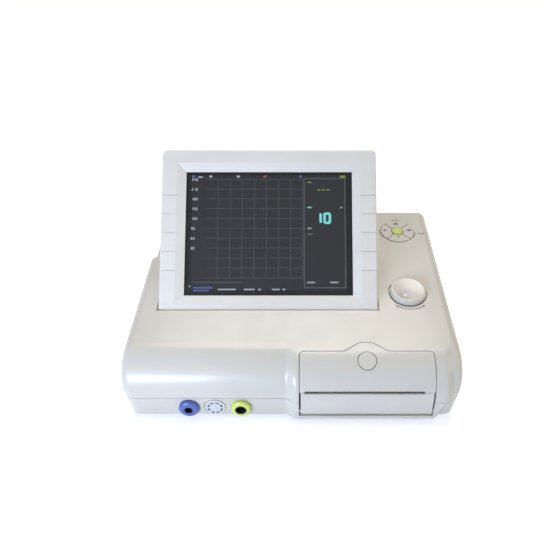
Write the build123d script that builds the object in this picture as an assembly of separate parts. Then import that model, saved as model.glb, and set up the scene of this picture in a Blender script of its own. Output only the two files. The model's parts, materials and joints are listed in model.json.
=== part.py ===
from build123d import *
import math
import os

# A bench-top fetal heart monitor: a low wedge-shaped housing, a screen that folds flat into the
# sloping deck, a strip-chart printer behind a swinging door, a push knob, a round key cluster and
# three sensor sockets. Front is -Y, up is +Z, and the origin lies on the table under the middle
# of the whole outline.

# Housing: the lines that its outside follows
BODY_WIDTH = 317.0
BODY_DEPTH = 243.0
PRINTER_PROUD = 5.7
FOOT_HEIGHT = 4.0
WIDEST_HEIGHT = 38.0
PARTING_HEIGHT = 24.9
DECK_HEIGHT = 69.5
LIP_SETBACK = 75.7
DECK_SLOPE = 8.3
FRONT_RADIUS = 39.0
REAR_RADIUS = 9.5
SIDE_LEAN_LOW = 6.5
SIDE_LEAN_HIGH = 0.5
SIDE_RADIUS = 120.0
EDGE_RADIUS = 9.0
WALL = 2.5
PARTING_GAP = 0.3
TONGUE_WALL = 1.2
TONGUE_RISE = 2.5
TONGUE_DROP = 4.0
SNUG = 0.15

# Cuts run this far past the faces they open
OVERRUN = 8.0

# Screen: a flat case that turns on two pins at the front edge of its recess
SHOULDER_WIDTH = 23.0
RIGHT_STRIP = 72.0
SCREEN_LIFT = 41.0
BEZEL_THICK = 8.0
COVER_THICK = 10.0
BEZEL_CORNER = 5.0
BEZEL_EDGE = 2.5
LIP_GAP = 0.8
RECESS_SIDE_GAP = 1.0
RECESS_FLOOR_GAP = 1.5
HINGE_SET_IN = 4.0
SHOULDER_LENGTH = 80.0
SCREEN_REAR_GAP = 0.57
BEZEL_SIDE = 24.8
WINDOW_MARGIN = 18.0
WINDOW_TOP_MARGIN = 22.9
BEVEL_WIDTH = 9.5
BEVEL_DEPTH = 3.0
WINDOW_LIP = 1.0
GLASS_THICK = 1.2
GLASS_LAP = 2.0
GLASS_GAP = 0.3
PANEL_LAP = 5.5
PANEL_THICK = 4.6
PANEL_GAP = 0.2
GROOVE_PITCH_SHARE = 0.152
GROOVE_COUNT = 5
GROOVE_WIDTH = 0.8
GROOVE_DEPTH = 0.6
GROOVE_LENGTH = 18.0
CASE_WALL = 2.2
COVER_START = 4.5
COVER_SLANT = 8.0
COVER_TOP_SLANT = 6.0
BOARD_THICK = 1.6
DISPLAY_BOARD_SIDE = 10.2
DISPLAY_BOARD_END = 18.8
DISPLAY_BOARD_GAP = 3.6
PIN_RADIUS = 1.8
PIN_IN_WALL = 8.0
PIN_IN_CASE = 9.0
RUNNING_FIT = 0.05
BUSH_WALL = 0.9
HINGE_BOSS_RADIUS = 5.5

# Screws, bosses and feet
SCREW_RADIUS = 1.5
SCREW_HEAD_RADIUS = 2.9
SCREW_HEAD_HEIGHT = 2.0
SCREW_SLOT_WIDTH = 0.6
SCREW_SLOT_SHARE = 0.67
SCREW_FIT = 0.05
HEAD_FIT = 0.3
BOSS_RADIUS = 4.5
BOSS_BITE = 12.0
CASE_SCREW_SINK = 5.0
SIDE_SCREW_INSET = 17.0
FRONT_SCREW_INSET = 22.0
REAR_SCREW_INSET = 14.0
FOOT_RADIUS = 9.0
FOOT_INSET_X = 38.0
FOOT_INSET_Y = 30.0
FOOT_PLUG_RADIUS = 3.0
FOOT_PLUG_SHORT = 0.3
FOOT_FIT = 0.1
FOOT_CHAMFER = 0.5

# Printer: surround, door and its slot
SURROUND_RIGHT_GAP = 9.0
SURROUND_RIGHT_SIDE = 18.5
SURROUND_LEFT_SIDE = 14.0
SURROUND_LEAN = 9.5
SURROUND_HOLLOW_SIDE = 1.5
RAMP_LEFT_WIDTH = 11.0
RAMP_RIGHT_WIDTH = 8.5
RAMP_BITE = 0.1
RAMP_STEPS = 5
DOOR_WIDTH = 124.0
DOOR_SIDE = 7.0
FRONT_PANEL_TRIM = 1.0
DOOR_GAP = 0.5
DOOR_AXIS_SETBACK = 3.4
DOOR_AXIS_HEIGHT = 11.2
DOOR_ROLL = 3.2
DOOR_SEAM_SETBACK = 29.5
DOOR_CORNER = 4.0
HUMP_RISE = 10.2
HUMP_TOP = 11.0
HUMP_BASE = 40.0
HUMP_ROUND = 9.0
SLOT_HEIGHT_AT = 36.0
SLOT_OPENING = 2.6
SLOT_TRIM = 0.25
PAPER_OFFSET = -2.5
PANEL_JOINT = 0.3
DOOR_PIN_RADIUS = 1.5
DOOR_PIN_IN_DOOR = 7.0
DOOR_PIN_IN_BASE = 5.0
HINGE_BLOCK_WIDTH = 6.5
HINGE_BLOCK_DEPTH = 8.0
HINGE_BLOCK_RISE = 5.0
CHEEK_THICK = 2.2
CHEEK_DEPTH = 14.5
CHEEK_TOP = 56.0
CHEEK_BOTTOM = 14.8
CHEEK_OUT = 1.0
RAIL_DEPTH = 3.5
RAIL_HEIGHT = 3.0
LOW_RAIL_AT = 17.0
HIGH_RAIL_AT = 46.5
HIGH_RAIL_SETBACK = 13.2
EAR_THICK = 2.0
EAR_SPREAD = 15.0
EAR_HEIGHT = 4.6
TEAR_BAR_THICK = 0.8
TEAR_BAR_DEPTH = 5.0
TEAR_BAR_RISE = 0.5
TOOTH_PITCH = 3.0
TOOTH_DEPTH = 1.0

# Release button and latch
BUTTON_ANGLE = 62.0
BUTTON_RADIUS = 8.4
BUTTON_GAP = 0.5
BUTTON_PROUD = 0.4
BUTTON_BAR_HALF = 12.0
BUTTON_BAR_WIDTH = 5.0
BUTTON_BAR_THICK = 1.2
BUTTON_BAR_GAP = 0.35
BUTTON_STEM_RADIUS = 2.0
BUTTON_STEM_DEPTH = 6.7
LATCH_SETBACK = 29.0
LATCH_HEIGHT = 53.6
LATCH_PIN_RADIUS = 1.0
LATCH_HUB_RADIUS = 2.2
LATCH_WIDTH = 10.0
LATCH_THICK = 1.6
LATCH_FRONT_ARM = 6.5
LATCH_REAR_ARM = 9.6
LATCH_NOSE_DROP = 1.4
KEEPER_SETBACK = 35.0
KEEPER_RADIUS = 1.3
KEEPER_CLEAR = 0.4

# Printing mechanism
PLATEN_RADIUS = 6.5
PLATEN_SETBACK = 12.4
PLATEN_SHAFT_RADIUS = 2.5
PLATEN_BUSH_RADIUS = 4.0
HEAD_GAP = 0.3
HEAD_THICK = 4.0
HEAD_DROP = 4.0
HEAD_RISE = 16.0
HEAD_SIDE_GAP = 1.0
HEAD_RIDGE = 0.6
HEAD_RIDGE_HEIGHT = 2.0
HEAD_ROD_RADIUS = 1.5
HEAD_EAR_RADIUS = 3.0
HEAD_EAR_WIDTH = 6.0
GEAR_MODULE = 0.8
TOOTH_TIP_SHARE = 0.95
TOOTH_ROOT_SHARE = 1.25
GEAR_WIDTH = 4.6
GEAR_SIDE_GAP = 0.6
GEAR_BACKLASH = 0.16
GEAR_SPREAD = 0.12
PLATEN_TEETH = 20
IDLER_TEETH = 28
PINION_TEETH = 15
PRESSURE_ANGLE = 20.0
IDLER_AXLE_RADIUS = 2.0
IDLER_CAP_RADIUS = 3.2
IDLER_CAP_THICK = 0.8
MOTOR_RADIUS = 12.5
MOTOR_LENGTH = 16.0
MOTOR_SHAFT_RADIUS = 1.0
MOTOR_BOSS_RADIUS = 3.5
MOTOR_EAR_SPAN = 34.0
MOTOR_EAR_WIDTH = 7.0
MOTOR_EAR_THICK = 1.0
MOTOR_CLIMB = 35.0
FRAME_THICK = 1.5
FRAME_GAP = 0.6
FRAME_FRONT = 19.0
FRAME_REAR = 71.0
FRAME_TOP = 56.5
FRAME_FOOT = 10.0
CROSS_BOTTOM = 34.0
TRAY_WALL = 1.8
TRAY_SIDE_GAP = 0.5
TRAY_FRONT = 20.5
TRAY_LENGTH = 96.0
TRAY_HEIGHT = 17.5
PACK_LENGTH = 90.0
PACK_HEIGHT = 12.0
PACK_GAP = 0.3

# Push knob
KNOB_INSET = 31.4
KNOB_ALONG = 24.2
KNOB_RADIUS = 18.5
KNOB_HEIGHT = 5.6
KNOB_TRAVEL = 0.8
KNOB_EDGE = 2.4
KNOB_WELL_GAP = 1.3
KNOB_WELL_DEPTH = 1.6
KNOB_DISH_DEPTH = 0.9
KNOB_DISH_RADIUS = 15.5
KNOB_DIMPLE_RADIUS = 5.5
KNOB_DIMPLE_DEPTH = 1.6
KNOB_DIMPLE_OUT = 9.0
KNOB_DIMPLE_TURN = 236.0
KNOB_STEM_RADIUS = 5.0
KNOB_BORE_RADIUS = 3.0
SLEEVE_WALL = 0.9
ENCODER_WIDTH = 13.0
ENCODER_HEIGHT = 6.5
ENCODER_NECK_RADIUS = 4.4
ENCODER_NECK_RISE = 3.0
ENCODER_BOARD = 34.0
KNOB_FLOAT = 0.4

# Key cluster
KEY_INSET = 33.5
KEY_REAR_GAP = 44.6
KEY_FIELD_RADIUS = 19.4
KEY_GAP = 0.45
KEY_PROUD = 0.8
KEY_DEPTH = 3.0
KEY_TRAVEL = 0.6
START_RADIUS = 6.2
START_PROUD = 1.4
KEY_EDGE = 0.4
MAT_CLEAR = 0.2
MAT_THICK = 1.2
MAT_LAP = 3.0
KEY_BOARD_LAP = 4.0
KEY_NAMES = ["right", "up", "left", "down"]

# Sensor sockets in the front wall
SOCKET_SHIFT = 7.5
SOCKET_PITCH = 24.3
SOCKET_HEIGHT = 13.6
SOCKET_RADIUS = 9.6
SOCKET_TUBE_RADIUS = 6.5
SOCKET_DEPTH = 17.0
SOCKET_FIT = 0.1
BLUE_PROUD = 4.6
WHITE_PROUD = 1.2
YELLOW_PROUD = 4.4
BLUE_HOLE = 4.2
YELLOW_HOLE = 5.4
LINER_WALL = 0.7
LINER_FLOOR = 1.0
SOCKET_BORE_LENGTH = 10.0
SOCKET_CORE_SHARE = 0.8
CONTACT_RADIUS = 0.5
CONTACT_CIRCLE_SHARE = 0.5
CONTACT_RISE = 3.0
CONTACT_COUNT = 4
COLLAR_ROUND_SHARE = 0.67
NUT_RADIUS = 10.2
NUT_THICK = 2.4
NUT_GAP = 0.1
RING_SLOTS = 8
RING_INNER = 5.6
RING_OUTER = 7.2
RING_DEPTH = 1.2
RING_SLOT_SHARE = 0.62

# Rear terminal tray and its fittings
TERMINAL_WIDTH = 110.0
TERMINAL_HEIGHT = 38.0
TERMINAL_INSET = 5.0
TERMINAL_BOTTOM = 11.0
TERMINAL_DEPTH = 14.0
TERMINAL_WALL = 1.6
INLET_OFFSET = -31.0
INLET_FLANGE_WIDTH = 30.0
INLET_FLANGE_HEIGHT = 23.0
INLET_FLANGE_THICK = 3.0
INLET_BODY_WIDTH = 27.4
INLET_BODY_HEIGHT = 19.6
INLET_BODY_DEPTH = 17.0
INLET_CAVITY_WIDTH = 24.4
INLET_CAVITY_HEIGHT = 16.8
INLET_CAVITY_DEPTH = 16.0
BLADE_WIDTH = 2.0
BLADE_HEIGHT = 4.0
BLADE_LENGTH = 13.0
BLADE_TAIL = 7.0
BLADE_SPREAD = 7.0
BLADE_OFFSET = 2.0
BLADE_FIT = 0.05
SWITCH_OFFSET = -5.0
SWITCH_FRAME_WIDTH = 15.0
SWITCH_FRAME_HEIGHT = 21.0
SWITCH_FRAME_THICK = 2.0
SWITCH_BODY_DEPTH = 14.0
SWITCH_RIM = 1.6
ROCKER_GAP = 0.6
ROCKER_TILT = 7.0
ROCKER_THICK = 4.0
ROCKER_PROUD = 2.4
EARTH_OFFSET = 14.0
EARTH_RADIUS = 3.0
EARTH_LENGTH = 20.0
EARTH_NUT_RADIUS = 5.5
EARTH_NUT_THICK = 4.0
SERIAL_OFFSET = 35.5
SERIAL_FLANGE_WIDTH = 31.0
SERIAL_FLANGE_HEIGHT = 12.5
SERIAL_FLANGE_THICK = 1.0
SERIAL_SHELL_WIDTH = 16.4
SERIAL_SHELL_TAPER = 1.2
SERIAL_SHELL_HEIGHT = 7.9
SERIAL_SHELL_PROUD = 5.0
SERIAL_BODY_DEPTH = 8.0
SERIAL_UPPER_HOLES = 5
SERIAL_LOWER_HOLES = 4
SERIAL_HOLE_RADIUS = 0.5
SERIAL_HOLE_PITCH = 2.7
SERIAL_HOLE_DEPTH = 3.0
SERIAL_NUT_RADIUS = 2.4
SERIAL_NUT_SPAN = 12.5
SERIAL_NUT_LENGTH = 3.5

# Boards, supply and speaker on the base
FLOOR_POST_RADIUS = 3.5
FLOOR_POST_HEIGHT = 6.0
BAY_GAP = 19.5
BAY_CLEAR = 0.4
MAIN_BOARD_SETBACK = 30.0
BOARD_SUPPLY_GAP = 13.0
CHIP_SHARES = [0.21, 0.145, 0.145, 0.097]
CHIP_HEIGHT = 2.4
POST_INSET = 7.0
SUPPLY_WIDTH = 112.0
SUPPLY_DEPTH = 52.0
SUPPLY_HEIGHT = 27.0
SUPPLY_REAR_GAP = 42.0
SPEAKER_RADIUS = 25.0
SPEAKER_INSET = 73.5
SPEAKER_REAR_GAP = 60.0
SPEAKER_RIM = 2.0
SPEAKER_CONE_RADIUS = 17.0
SPEAKER_DEPTH = 12.0
MAGNET_RADIUS = 12.0
MAGNET_HEIGHT = 8.0
GRILLE_SLOT = 2.2
GRILLE_PITCH = 5.0
GRILLE_COUNT = 7
GRILLE_REACH_SHARE = 0.8
VENT_SLOT = 2.4
VENT_PITCH = 6.0
VENT_COUNT = 9
VENT_HEIGHT = 22.0
VENT_INSET = 98.5
VENT_BOTTOM = 32.0

# Places worked out from the sizes above
HEXAGON_SIDES = 6
QUARTER_TURN = 90.0
HALF_TURN = 180.0
SLOPE = math.radians(DECK_SLOPE)
FRONT_Y = (PRINTER_PROUD - BODY_DEPTH) / 2
REAR_Y = FRONT_Y + BODY_DEPTH
PRINTER_FRONT_Y = FRONT_Y - PRINTER_PROUD
LIP_Y = FRONT_Y + LIP_SETBACK
FLOOR_TOP = FOOT_HEIGHT + WALL
SCREEN_ROLL = BEZEL_THICK / 2
SCREEN_THICK = BEZEL_THICK + COVER_THICK
HALF_WIDTH = BODY_WIDTH / 2
DECK_LENGTH = (BODY_DEPTH - LIP_SETBACK) / math.cos(SLOPE)
RECESS_LEFT = -HALF_WIDTH + SHOULDER_WIDTH
RECESS_RIGHT = HALF_WIDTH - RIGHT_STRIP
SCREEN_X = (RECESS_LEFT + RECESS_RIGHT) / 2
SCREEN_WIDTH = RECESS_RIGHT - RECESS_LEFT - 2 * RECESS_SIDE_GAP
SCREEN_HEIGHT = DECK_LENGTH - HINGE_SET_IN + SCREEN_ROLL - SCREEN_REAR_GAP
WINDOW_WIDTH = SCREEN_WIDTH - 2 * BEZEL_SIDE
WINDOW_HEIGHT = SCREEN_HEIGHT - WINDOW_MARGIN - WINDOW_TOP_MARGIN
DISPLAY_BOARD_WIDTH = WINDOW_WIDTH - 2 * DISPLAY_BOARD_SIDE
DISPLAY_BOARD_HEIGHT = WINDOW_HEIGHT - 2 * DISPLAY_BOARD_END

# The deck frame: x across, y up the slope from the recess's front lip, z out of the deck
DECK = Plane(origin=(0, LIP_Y, DECK_HEIGHT), x_dir=(1, 0, 0), z_dir=(0, -math.sin(SLOPE), math.cos(SLOPE)))

# The hinge line lies as deep as half the bezel, so that the screen folds flush with the deck
HINGE_ALONG = HINGE_SET_IN
HINGE_POINT = DECK.from_local_coords((0, HINGE_ALONG, -SCREEN_ROLL))
TILT = SLOPE + math.radians(SCREEN_LIFT)
SCREEN = Plane(origin=(SCREEN_X, HINGE_POINT.Y, HINGE_POINT.Z), x_dir=(1, 0, 0),
               z_dir=(0, -math.sin(TILT), math.cos(TILT)))

RECESS_FRONT = HINGE_ALONG - SCREEN_ROLL - LIP_GAP
RECESS_DEPTH = SCREEN_THICK + RECESS_FLOOR_GAP

SURROUND_RIGHT = HALF_WIDTH - SURROUND_RIGHT_GAP
DOOR_RIGHT = SURROUND_RIGHT - SURROUND_RIGHT_SIDE
DOOR_LEFT = DOOR_RIGHT - DOOR_WIDTH
SURROUND_LEFT = DOOR_LEFT - SURROUND_LEFT_SIDE
LEFT_CREST = SURROUND_LEFT + RAMP_LEFT_WIDTH
RIGHT_CREST = SURROUND_RIGHT - RAMP_RIGHT_WIDTH
PRINTER_X = (DOOR_LEFT + DOOR_RIGHT) / 2
PAPER_WIDTH = DOOR_WIDTH - 2 * DOOR_SIDE
PAPER_X = PRINTER_X + PAPER_OFFSET
DOOR_AXIS_Y = PRINTER_FRONT_Y + DOOR_AXIS_SETBACK
DOOR_SEAM_Y = PRINTER_FRONT_Y + DOOR_SEAM_SETBACK
DOOR_BOTTOM = DOOR_AXIS_HEIGHT - DOOR_ROLL
PLATEN_Y = PRINTER_FRONT_Y + PLATEN_SETBACK
PLATEN_Z = SLOT_HEIGHT_AT - PLATEN_RADIUS
FRAME_LEFT = DOOR_LEFT - DOOR_GAP - FRAME_GAP
FRAME_RIGHT = DOOR_RIGHT + DOOR_GAP + FRAME_GAP
KNOB_X = RECESS_RIGHT + KNOB_INSET
KEY_X = RECESS_RIGHT + KEY_INSET
KEY_ALONG = DECK_LENGTH - KEY_REAR_GAP
SOCKET_X = (-HALF_WIDTH + SIDE_LEAN_LOW + SURROUND_LEFT) / 2 + SOCKET_SHIFT
BAY_LEFT = -HALF_WIDTH + SIDE_LEAN_LOW + WALL + BAY_GAP
BAY_RIGHT = FRAME_LEFT - FRAME_THICK - FRAME_FOOT - BAY_CLEAR
MAIN_BOARD_X = (BAY_LEFT + BAY_RIGHT) / 2
MAIN_BOARD_WIDTH = BAY_RIGHT - BAY_LEFT
MAIN_BOARD_DEPTH = BODY_DEPTH - MAIN_BOARD_SETBACK - SUPPLY_REAR_GAP - SUPPLY_DEPTH - BOARD_SUPPLY_GAP
TERMINAL_X = BAY_LEFT + TERMINAL_INSET + TERMINAL_WIDTH / 2
SPEAKER_X = HALF_WIDTH - SPEAKER_INSET
VENT_X = HALF_WIDTH - VENT_INSET


# Building blocks

def box(x0, x1, y0, y1, z0, z1):
    """A block between two corners, in the housing's own frame."""
    return Pos(x0, y0, z0) * Box(x1 - x0, y1 - y0, z1 - z0, align=(Align.MIN, Align.MIN, Align.MIN))


def frame_box(frame, x0, x1, y0, y1, z0, z1):
    """The same block, in the deck's frame or the screen's."""
    return frame * box(x0, x1, y0, y1, z0, z1)


def side_on(x, y=0, z=0):
    """The plane square to X through a point, for outlines of Y and Z."""
    return Plane((x, y, z), x_dir=(0, 1, 0), z_dir=(1, 0, 0))


def facing_rear(x, y, z):
    """The plane square to Y through a point, looking to the rear."""
    return Plane((x, y, z), x_dir=(1, 0, 0), z_dir=(0, 1, 0))


def across(face, x0, x1):
    """Draws an outline of Y and Z out along X."""
    return extrude(side_on(x0) * face, x1 - x0)


def upright(face, z0, z1):
    """Draws an outline of X and Y up along Z."""
    return extrude(Plane((0, 0, z0)) * face, z1 - z0)


def rod(x0, x1, y, z, radius):
    """A round bar along X."""
    return side_on(x0, y, z) * Cylinder(radius, x1 - x0, align=(Align.CENTER, Align.CENTER, Align.MIN))


def post(x, y, z0, z1, radius):
    """A round column along Z."""
    return Pos(x, y, z0) * Cylinder(radius, z1 - z0, align=(Align.CENTER, Align.CENTER, Align.MIN))


def disc(frame, x, y, z0, z1, radius):
    """A round column square to the deck, the screen or another plane."""
    return frame * post(x, y, z0, z1, radius)


def forward_rod(x, z, y0, y1, radius):
    """A round bar along Y, from y0 back to y1."""
    return facing_rear(x, y0, z) * Cylinder(radius, y1 - y0, align=(Align.CENTER, Align.CENTER, Align.MIN))


def hexagon(x, y, z, radius, length):
    """A hexagon nut along Y, from y back."""
    return extrude(facing_rear(x, y, z) * RegularPolygon(radius, HEXAGON_SIDES), length)


def polar(cy, cz, radius, degrees):
    """A point of Y and Z at an angle from +Y towards +Z."""
    turn = math.radians(degrees)
    return (cy + radius * math.cos(turn), cz + radius * math.sin(turn))


def joined(pieces):
    """Fuses a list of overlapping solids."""
    whole = pieces[0]
    for piece in pieces[1:]:
        whole = whole + piece
    return whole


def group(pieces):
    """Keeps separate solids together in one node."""
    return Compound(children=[solid for piece in pieces for solid in piece.solids()])


# Housing form

def below(height):
    return box(-BODY_WIDTH, BODY_WIDTH, -BODY_DEPTH, BODY_DEPTH, -OVERRUN, height)


def above(height):
    return box(-BODY_WIDTH, BODY_WIDTH, -BODY_DEPTH, BODY_DEPTH, height, DECK_HEIGHT * 2)


def deck_z(y, depth=0.0):
    """Height of the deck's plane over y, or of a plane that lies deeper."""
    return DECK_HEIGHT + (y - LIP_Y) * math.tan(SLOPE) - depth / math.cos(SLOPE)


def front_arc(inset, proud):
    """Centre and radius of the arc that joins the front wall to the deck."""
    cy = FRONT_Y - proud + FRONT_RADIUS
    return cy, deck_z(cy, FRONT_RADIUS), FRONT_RADIUS - inset


def front_lines(inset, proud):
    """The front wall and the arc above it, from the bottom up to the deck."""
    cy, cz, radius = front_arc(inset, proud)
    top = QUARTER_TURN + DECK_SLOPE
    wall = Line((cy - radius, FOOT_HEIGHT + inset), (cy - radius, cz))
    middle = polar(cy, cz, radius, (HALF_TURN + top) / 2)
    end = polar(cy, cz, radius, top)
    return wall + ThreePointArc((cy - radius, cz), middle, end), end


def side_profile(inset):
    """The whole side view: front wall, arc, deck, rear corner and rear wall."""
    lines, deck_start = front_lines(inset, 0)
    cy = REAR_Y - REAR_RADIUS
    cz = deck_z(cy, REAR_RADIUS)
    radius = REAR_RADIUS - inset
    top = QUARTER_TURN + DECK_SLOPE
    bend = ThreePointArc(polar(cy, cz, radius, top), polar(cy, cz, radius, top / 2), (cy + radius, cz))
    base = FOOT_HEIGHT + inset
    front = FRONT_Y + inset
    back = cy + radius
    return make_face(lines + Line(deck_start, polar(cy, cz, radius, top)) + bend
                     + Line((back, cz), (back, base)) + Line((back, base), (front, base)))


def front_profile(inset, proud):
    """The side view's front part alone, moved forward by proud along the deck."""
    lines, deck_start = front_lines(inset, proud)
    back = FRONT_Y + FRONT_RADIUS + EDGE_RADIUS
    base = FOOT_HEIGHT + inset
    front = FRONT_Y - proud + inset
    deck_end = (back, deck_z(back, inset))
    lines = lines + Line(deck_start, deck_end) + Line(deck_end, (back, base))
    return make_face(lines + Line((back, base), (front, base)))


def cross_profile(inset):
    """The view from the front: sides that swell to the widest line."""
    half = HALF_WIDTH - inset
    lean = SIDE_LEAN_LOW / (WIDEST_HEIGHT - FOOT_HEIGHT)
    low = FOOT_HEIGHT - OVERRUN
    high = deck_z(REAR_Y) + OVERRUN
    foot = half - lean * (WIDEST_HEIGHT - low)
    right = [(foot, low), (half, WIDEST_HEIGHT), (half - SIDE_LEAN_HIGH, high)]
    left = [(-x, z) for x, z in reversed(right)]
    outline = make_face(Polyline(*right, *left, close=True))
    widest = [v for v in outline.vertices() if abs(v.X) > half - EDGE_RADIUS / 2 and low < v.Y < high]
    return fillet(widest, SIDE_RADIUS)


def is_rim(edge):
    """True for the edges where the front, deck and rear meet the sides."""
    middle = edge.center()
    run = (edge @ 1) - (edge @ 0)
    along_side = abs(run.X) < EDGE_RADIUS and abs(run.Z) < WALL and abs(run.Y) > BODY_DEPTH / 2
    on_side = abs(middle.X) > HALF_WIDTH - SIDE_LEAN_LOW - SIDE_LEAN_HIGH
    return on_side and middle.Z > FOOT_HEIGHT + WALL + SNUG and not along_side


def body_form(inset):
    """The housing's plain form, smaller all round by inset."""
    side = across(side_profile(inset), -BODY_WIDTH, BODY_WIDTH)
    slab = Plane((0, REAR_Y + OVERRUN, 0), x_dir=(1, 0, 0), z_dir=(0, -1, 0)) * cross_profile(inset)
    form = side & extrude(slab, BODY_DEPTH + 2 * OVERRUN)
    return fillet([e for e in form.edges() if is_rim(e)], EDGE_RADIUS - inset)


def eased(share):
    """A share that starts and ends gently, for a ramp without a crease."""
    return share * share * (3 - 2 * share)


def ramp_places(outer, inner):
    """X and forward reach of a ramp, from its outer foot to its inner crest."""
    places = []
    for step in range(RAMP_STEPS + 1):
        share = step / RAMP_STEPS
        reach = (PRINTER_PROUD + RAMP_BITE) * eased(share) - RAMP_BITE
        places.append((outer + share * (inner - outer), reach))
    return places


def surround_plan(z, lean):
    """The surround seen from above at one height; lean draws its right side in."""
    left = [(x, FRONT_Y - reach) for x, reach in ramp_places(SURROUND_LEFT, LEFT_CREST)]
    right = [(x - lean, FRONT_Y - reach) for x, reach in ramp_places(SURROUND_RIGHT, RIGHT_CREST)]
    back = FRONT_Y + EDGE_RADIUS
    outline = Spline(*left) + Line(left[-1], right[-1]) + Spline(*right)
    outline = outline + Line(left[0], (left[0][0], back)) + Line((left[0][0], back), (right[0][0], back))
    return Plane((0, 0, z)) * make_face(outline + Line((right[0][0], back), right[0]))


def surround_form():
    """The printer's raised surround: ramps at both sides, the right one leaning in below with the housing."""
    seam = PARTING_HEIGHT - PARTING_GAP / 2
    low = loft([surround_plan(FOOT_HEIGHT, SURROUND_LEAN), surround_plan(seam, 0)], ruled=True)
    high = across(front_profile(0, PRINTER_PROUD), LEFT_CREST, RIGHT_CREST)
    for outer, inner in ((SURROUND_LEFT, LEFT_CREST), (SURROUND_RIGHT, RIGHT_CREST)):
        sections = [side_on(x) * front_profile(0, reach) for x, reach in ramp_places(outer, inner)]
        high = high + loft(sections)
    return low + (high & above(seam))


def surround_hollow():
    """The space behind the raised surround."""
    side = SURROUND_HOLLOW_SIDE
    return across(front_profile(WALL, PRINTER_PROUD), DOOR_LEFT - side, DOOR_RIGHT + side)


def recess_form(grow):
    """The screen's recess, open to the rear, and open to the left past the short shoulder."""
    back = (BODY_DEPTH + LIP_SETBACK) * 2
    floor = -RECESS_DEPTH - grow
    main = frame_box(DECK, RECESS_LEFT - grow, RECESS_RIGHT + grow, RECESS_FRONT - grow, back, floor,
                     DECK_HEIGHT)
    side = frame_box(DECK, -BODY_WIDTH, RECESS_LEFT, SHOULDER_LENGTH - grow, back, floor, DECK_HEIGHT)
    return main + side


def door_prism(grow):
    """The upright block that cuts the door from the surround: straight sides, and a humped seam behind."""
    left = DOOR_LEFT - grow
    right = DOOR_RIGHT + grow
    seam = DOOR_SEAM_Y + grow
    crest = seam + HUMP_RISE
    front = PRINTER_FRONT_Y - OVERRUN
    base = HUMP_BASE / 2 + grow
    top = HUMP_TOP / 2 + grow
    mid = PRINTER_X
    face = make_face(Polyline((left, front), (left, seam), (mid - base, seam), (mid - top, crest),
                              (mid + top, crest), (mid + base, seam), (right, seam), (right, front),
                              close=True))
    face = fillet([v for v in face.vertices() if abs(v.X - mid) < base + SNUG], HUMP_ROUND)
    corners = [v for v in face.vertices() if v.Y > seam - SNUG and (v.X < left + SNUG or v.X > right - SNUG)]
    face = fillet(corners, DOOR_CORNER + grow)
    return upright(face, DOOR_BOTTOM - grow, DECK_HEIGHT + OVERRUN)


def case_screw_places():
    """X and Y of the screws that hold the two halves together."""
    side = HALF_WIDTH - SIDE_SCREW_INSET
    rear = REAR_Y - REAR_SCREW_INSET
    front = FRONT_Y + FRONT_SCREW_INSET
    middle = (front + rear) / 2
    between = (SOCKET_X + SOCKET_PITCH + SOCKET_RADIUS + SURROUND_LEFT) / 2
    return [(-side, middle), (side, middle), (-side, rear), (side, rear), (between, front), (-side, front)]


def foot_places():
    """X and Y of the rubber feet."""
    side = HALF_WIDTH - FOOT_INSET_X
    return [(x, y) for x in (-side, side) for y in (FRONT_Y + FOOT_INSET_Y, REAR_Y - FOOT_INSET_Y)]


def board_places(cx, cy, width, depth):
    """X and Y of a board's four posts."""
    dx = width / 2 - POST_INSET
    dy = depth / 2 - POST_INSET
    return [(cx + sx * dx, cy + sy * dy) for sx in (-1, 1) for sy in (-1, 1)]


def button_plane():
    """The release button's own frame, square to the door's curved face."""
    cy, cz, radius = front_arc(0, PRINTER_PROUD)
    point = polar(cy, cz, radius, HALF_TURN - BUTTON_ANGLE)
    turn = math.radians(BUTTON_ANGLE)
    return Plane(origin=(PRINTER_X, point[0], point[1]), x_dir=(1, 0, 0),
                 z_dir=(0, -math.cos(turn), math.sin(turn)))


BUTTON = button_plane()
MAIN_BOARD_Y = FRONT_Y + MAIN_BOARD_SETBACK + MAIN_BOARD_DEPTH / 2
SUPPLY_Y = REAR_Y - SUPPLY_REAR_GAP - SUPPLY_DEPTH / 2
SPEAKER_Y = REAR_Y - SPEAKER_REAR_GAP
TERMINAL_LEFT = TERMINAL_X - TERMINAL_WIDTH / 2
TERMINAL_RIGHT = TERMINAL_X + TERMINAL_WIDTH / 2
TERMINAL_TOP = TERMINAL_BOTTOM + TERMINAL_HEIGHT
TERMINAL_MIDDLE = TERMINAL_BOTTOM + TERMINAL_HEIGHT / 2
PLATE_Y = REAR_Y - TERMINAL_DEPTH


def hollow_housing():
    """The housing's walls in one piece, before it is parted into two shells."""
    outer = body_form(0) + surround_form()
    inner = (body_form(WALL) + surround_hollow()) - recess_form(WALL)
    walls = outer - inner - recess_form(0)
    walls = walls - door_prism(DOOR_GAP)
    back = box(TERMINAL_LEFT - SNUG, TERMINAL_RIGHT + SNUG, REAR_Y - WALL - SNUG, REAR_Y + OVERRUN,
               TERMINAL_BOTTOM - SNUG, TERMINAL_TOP + SNUG)
    return outer, walls - back


OUTER, WALLS = hollow_housing()


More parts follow.
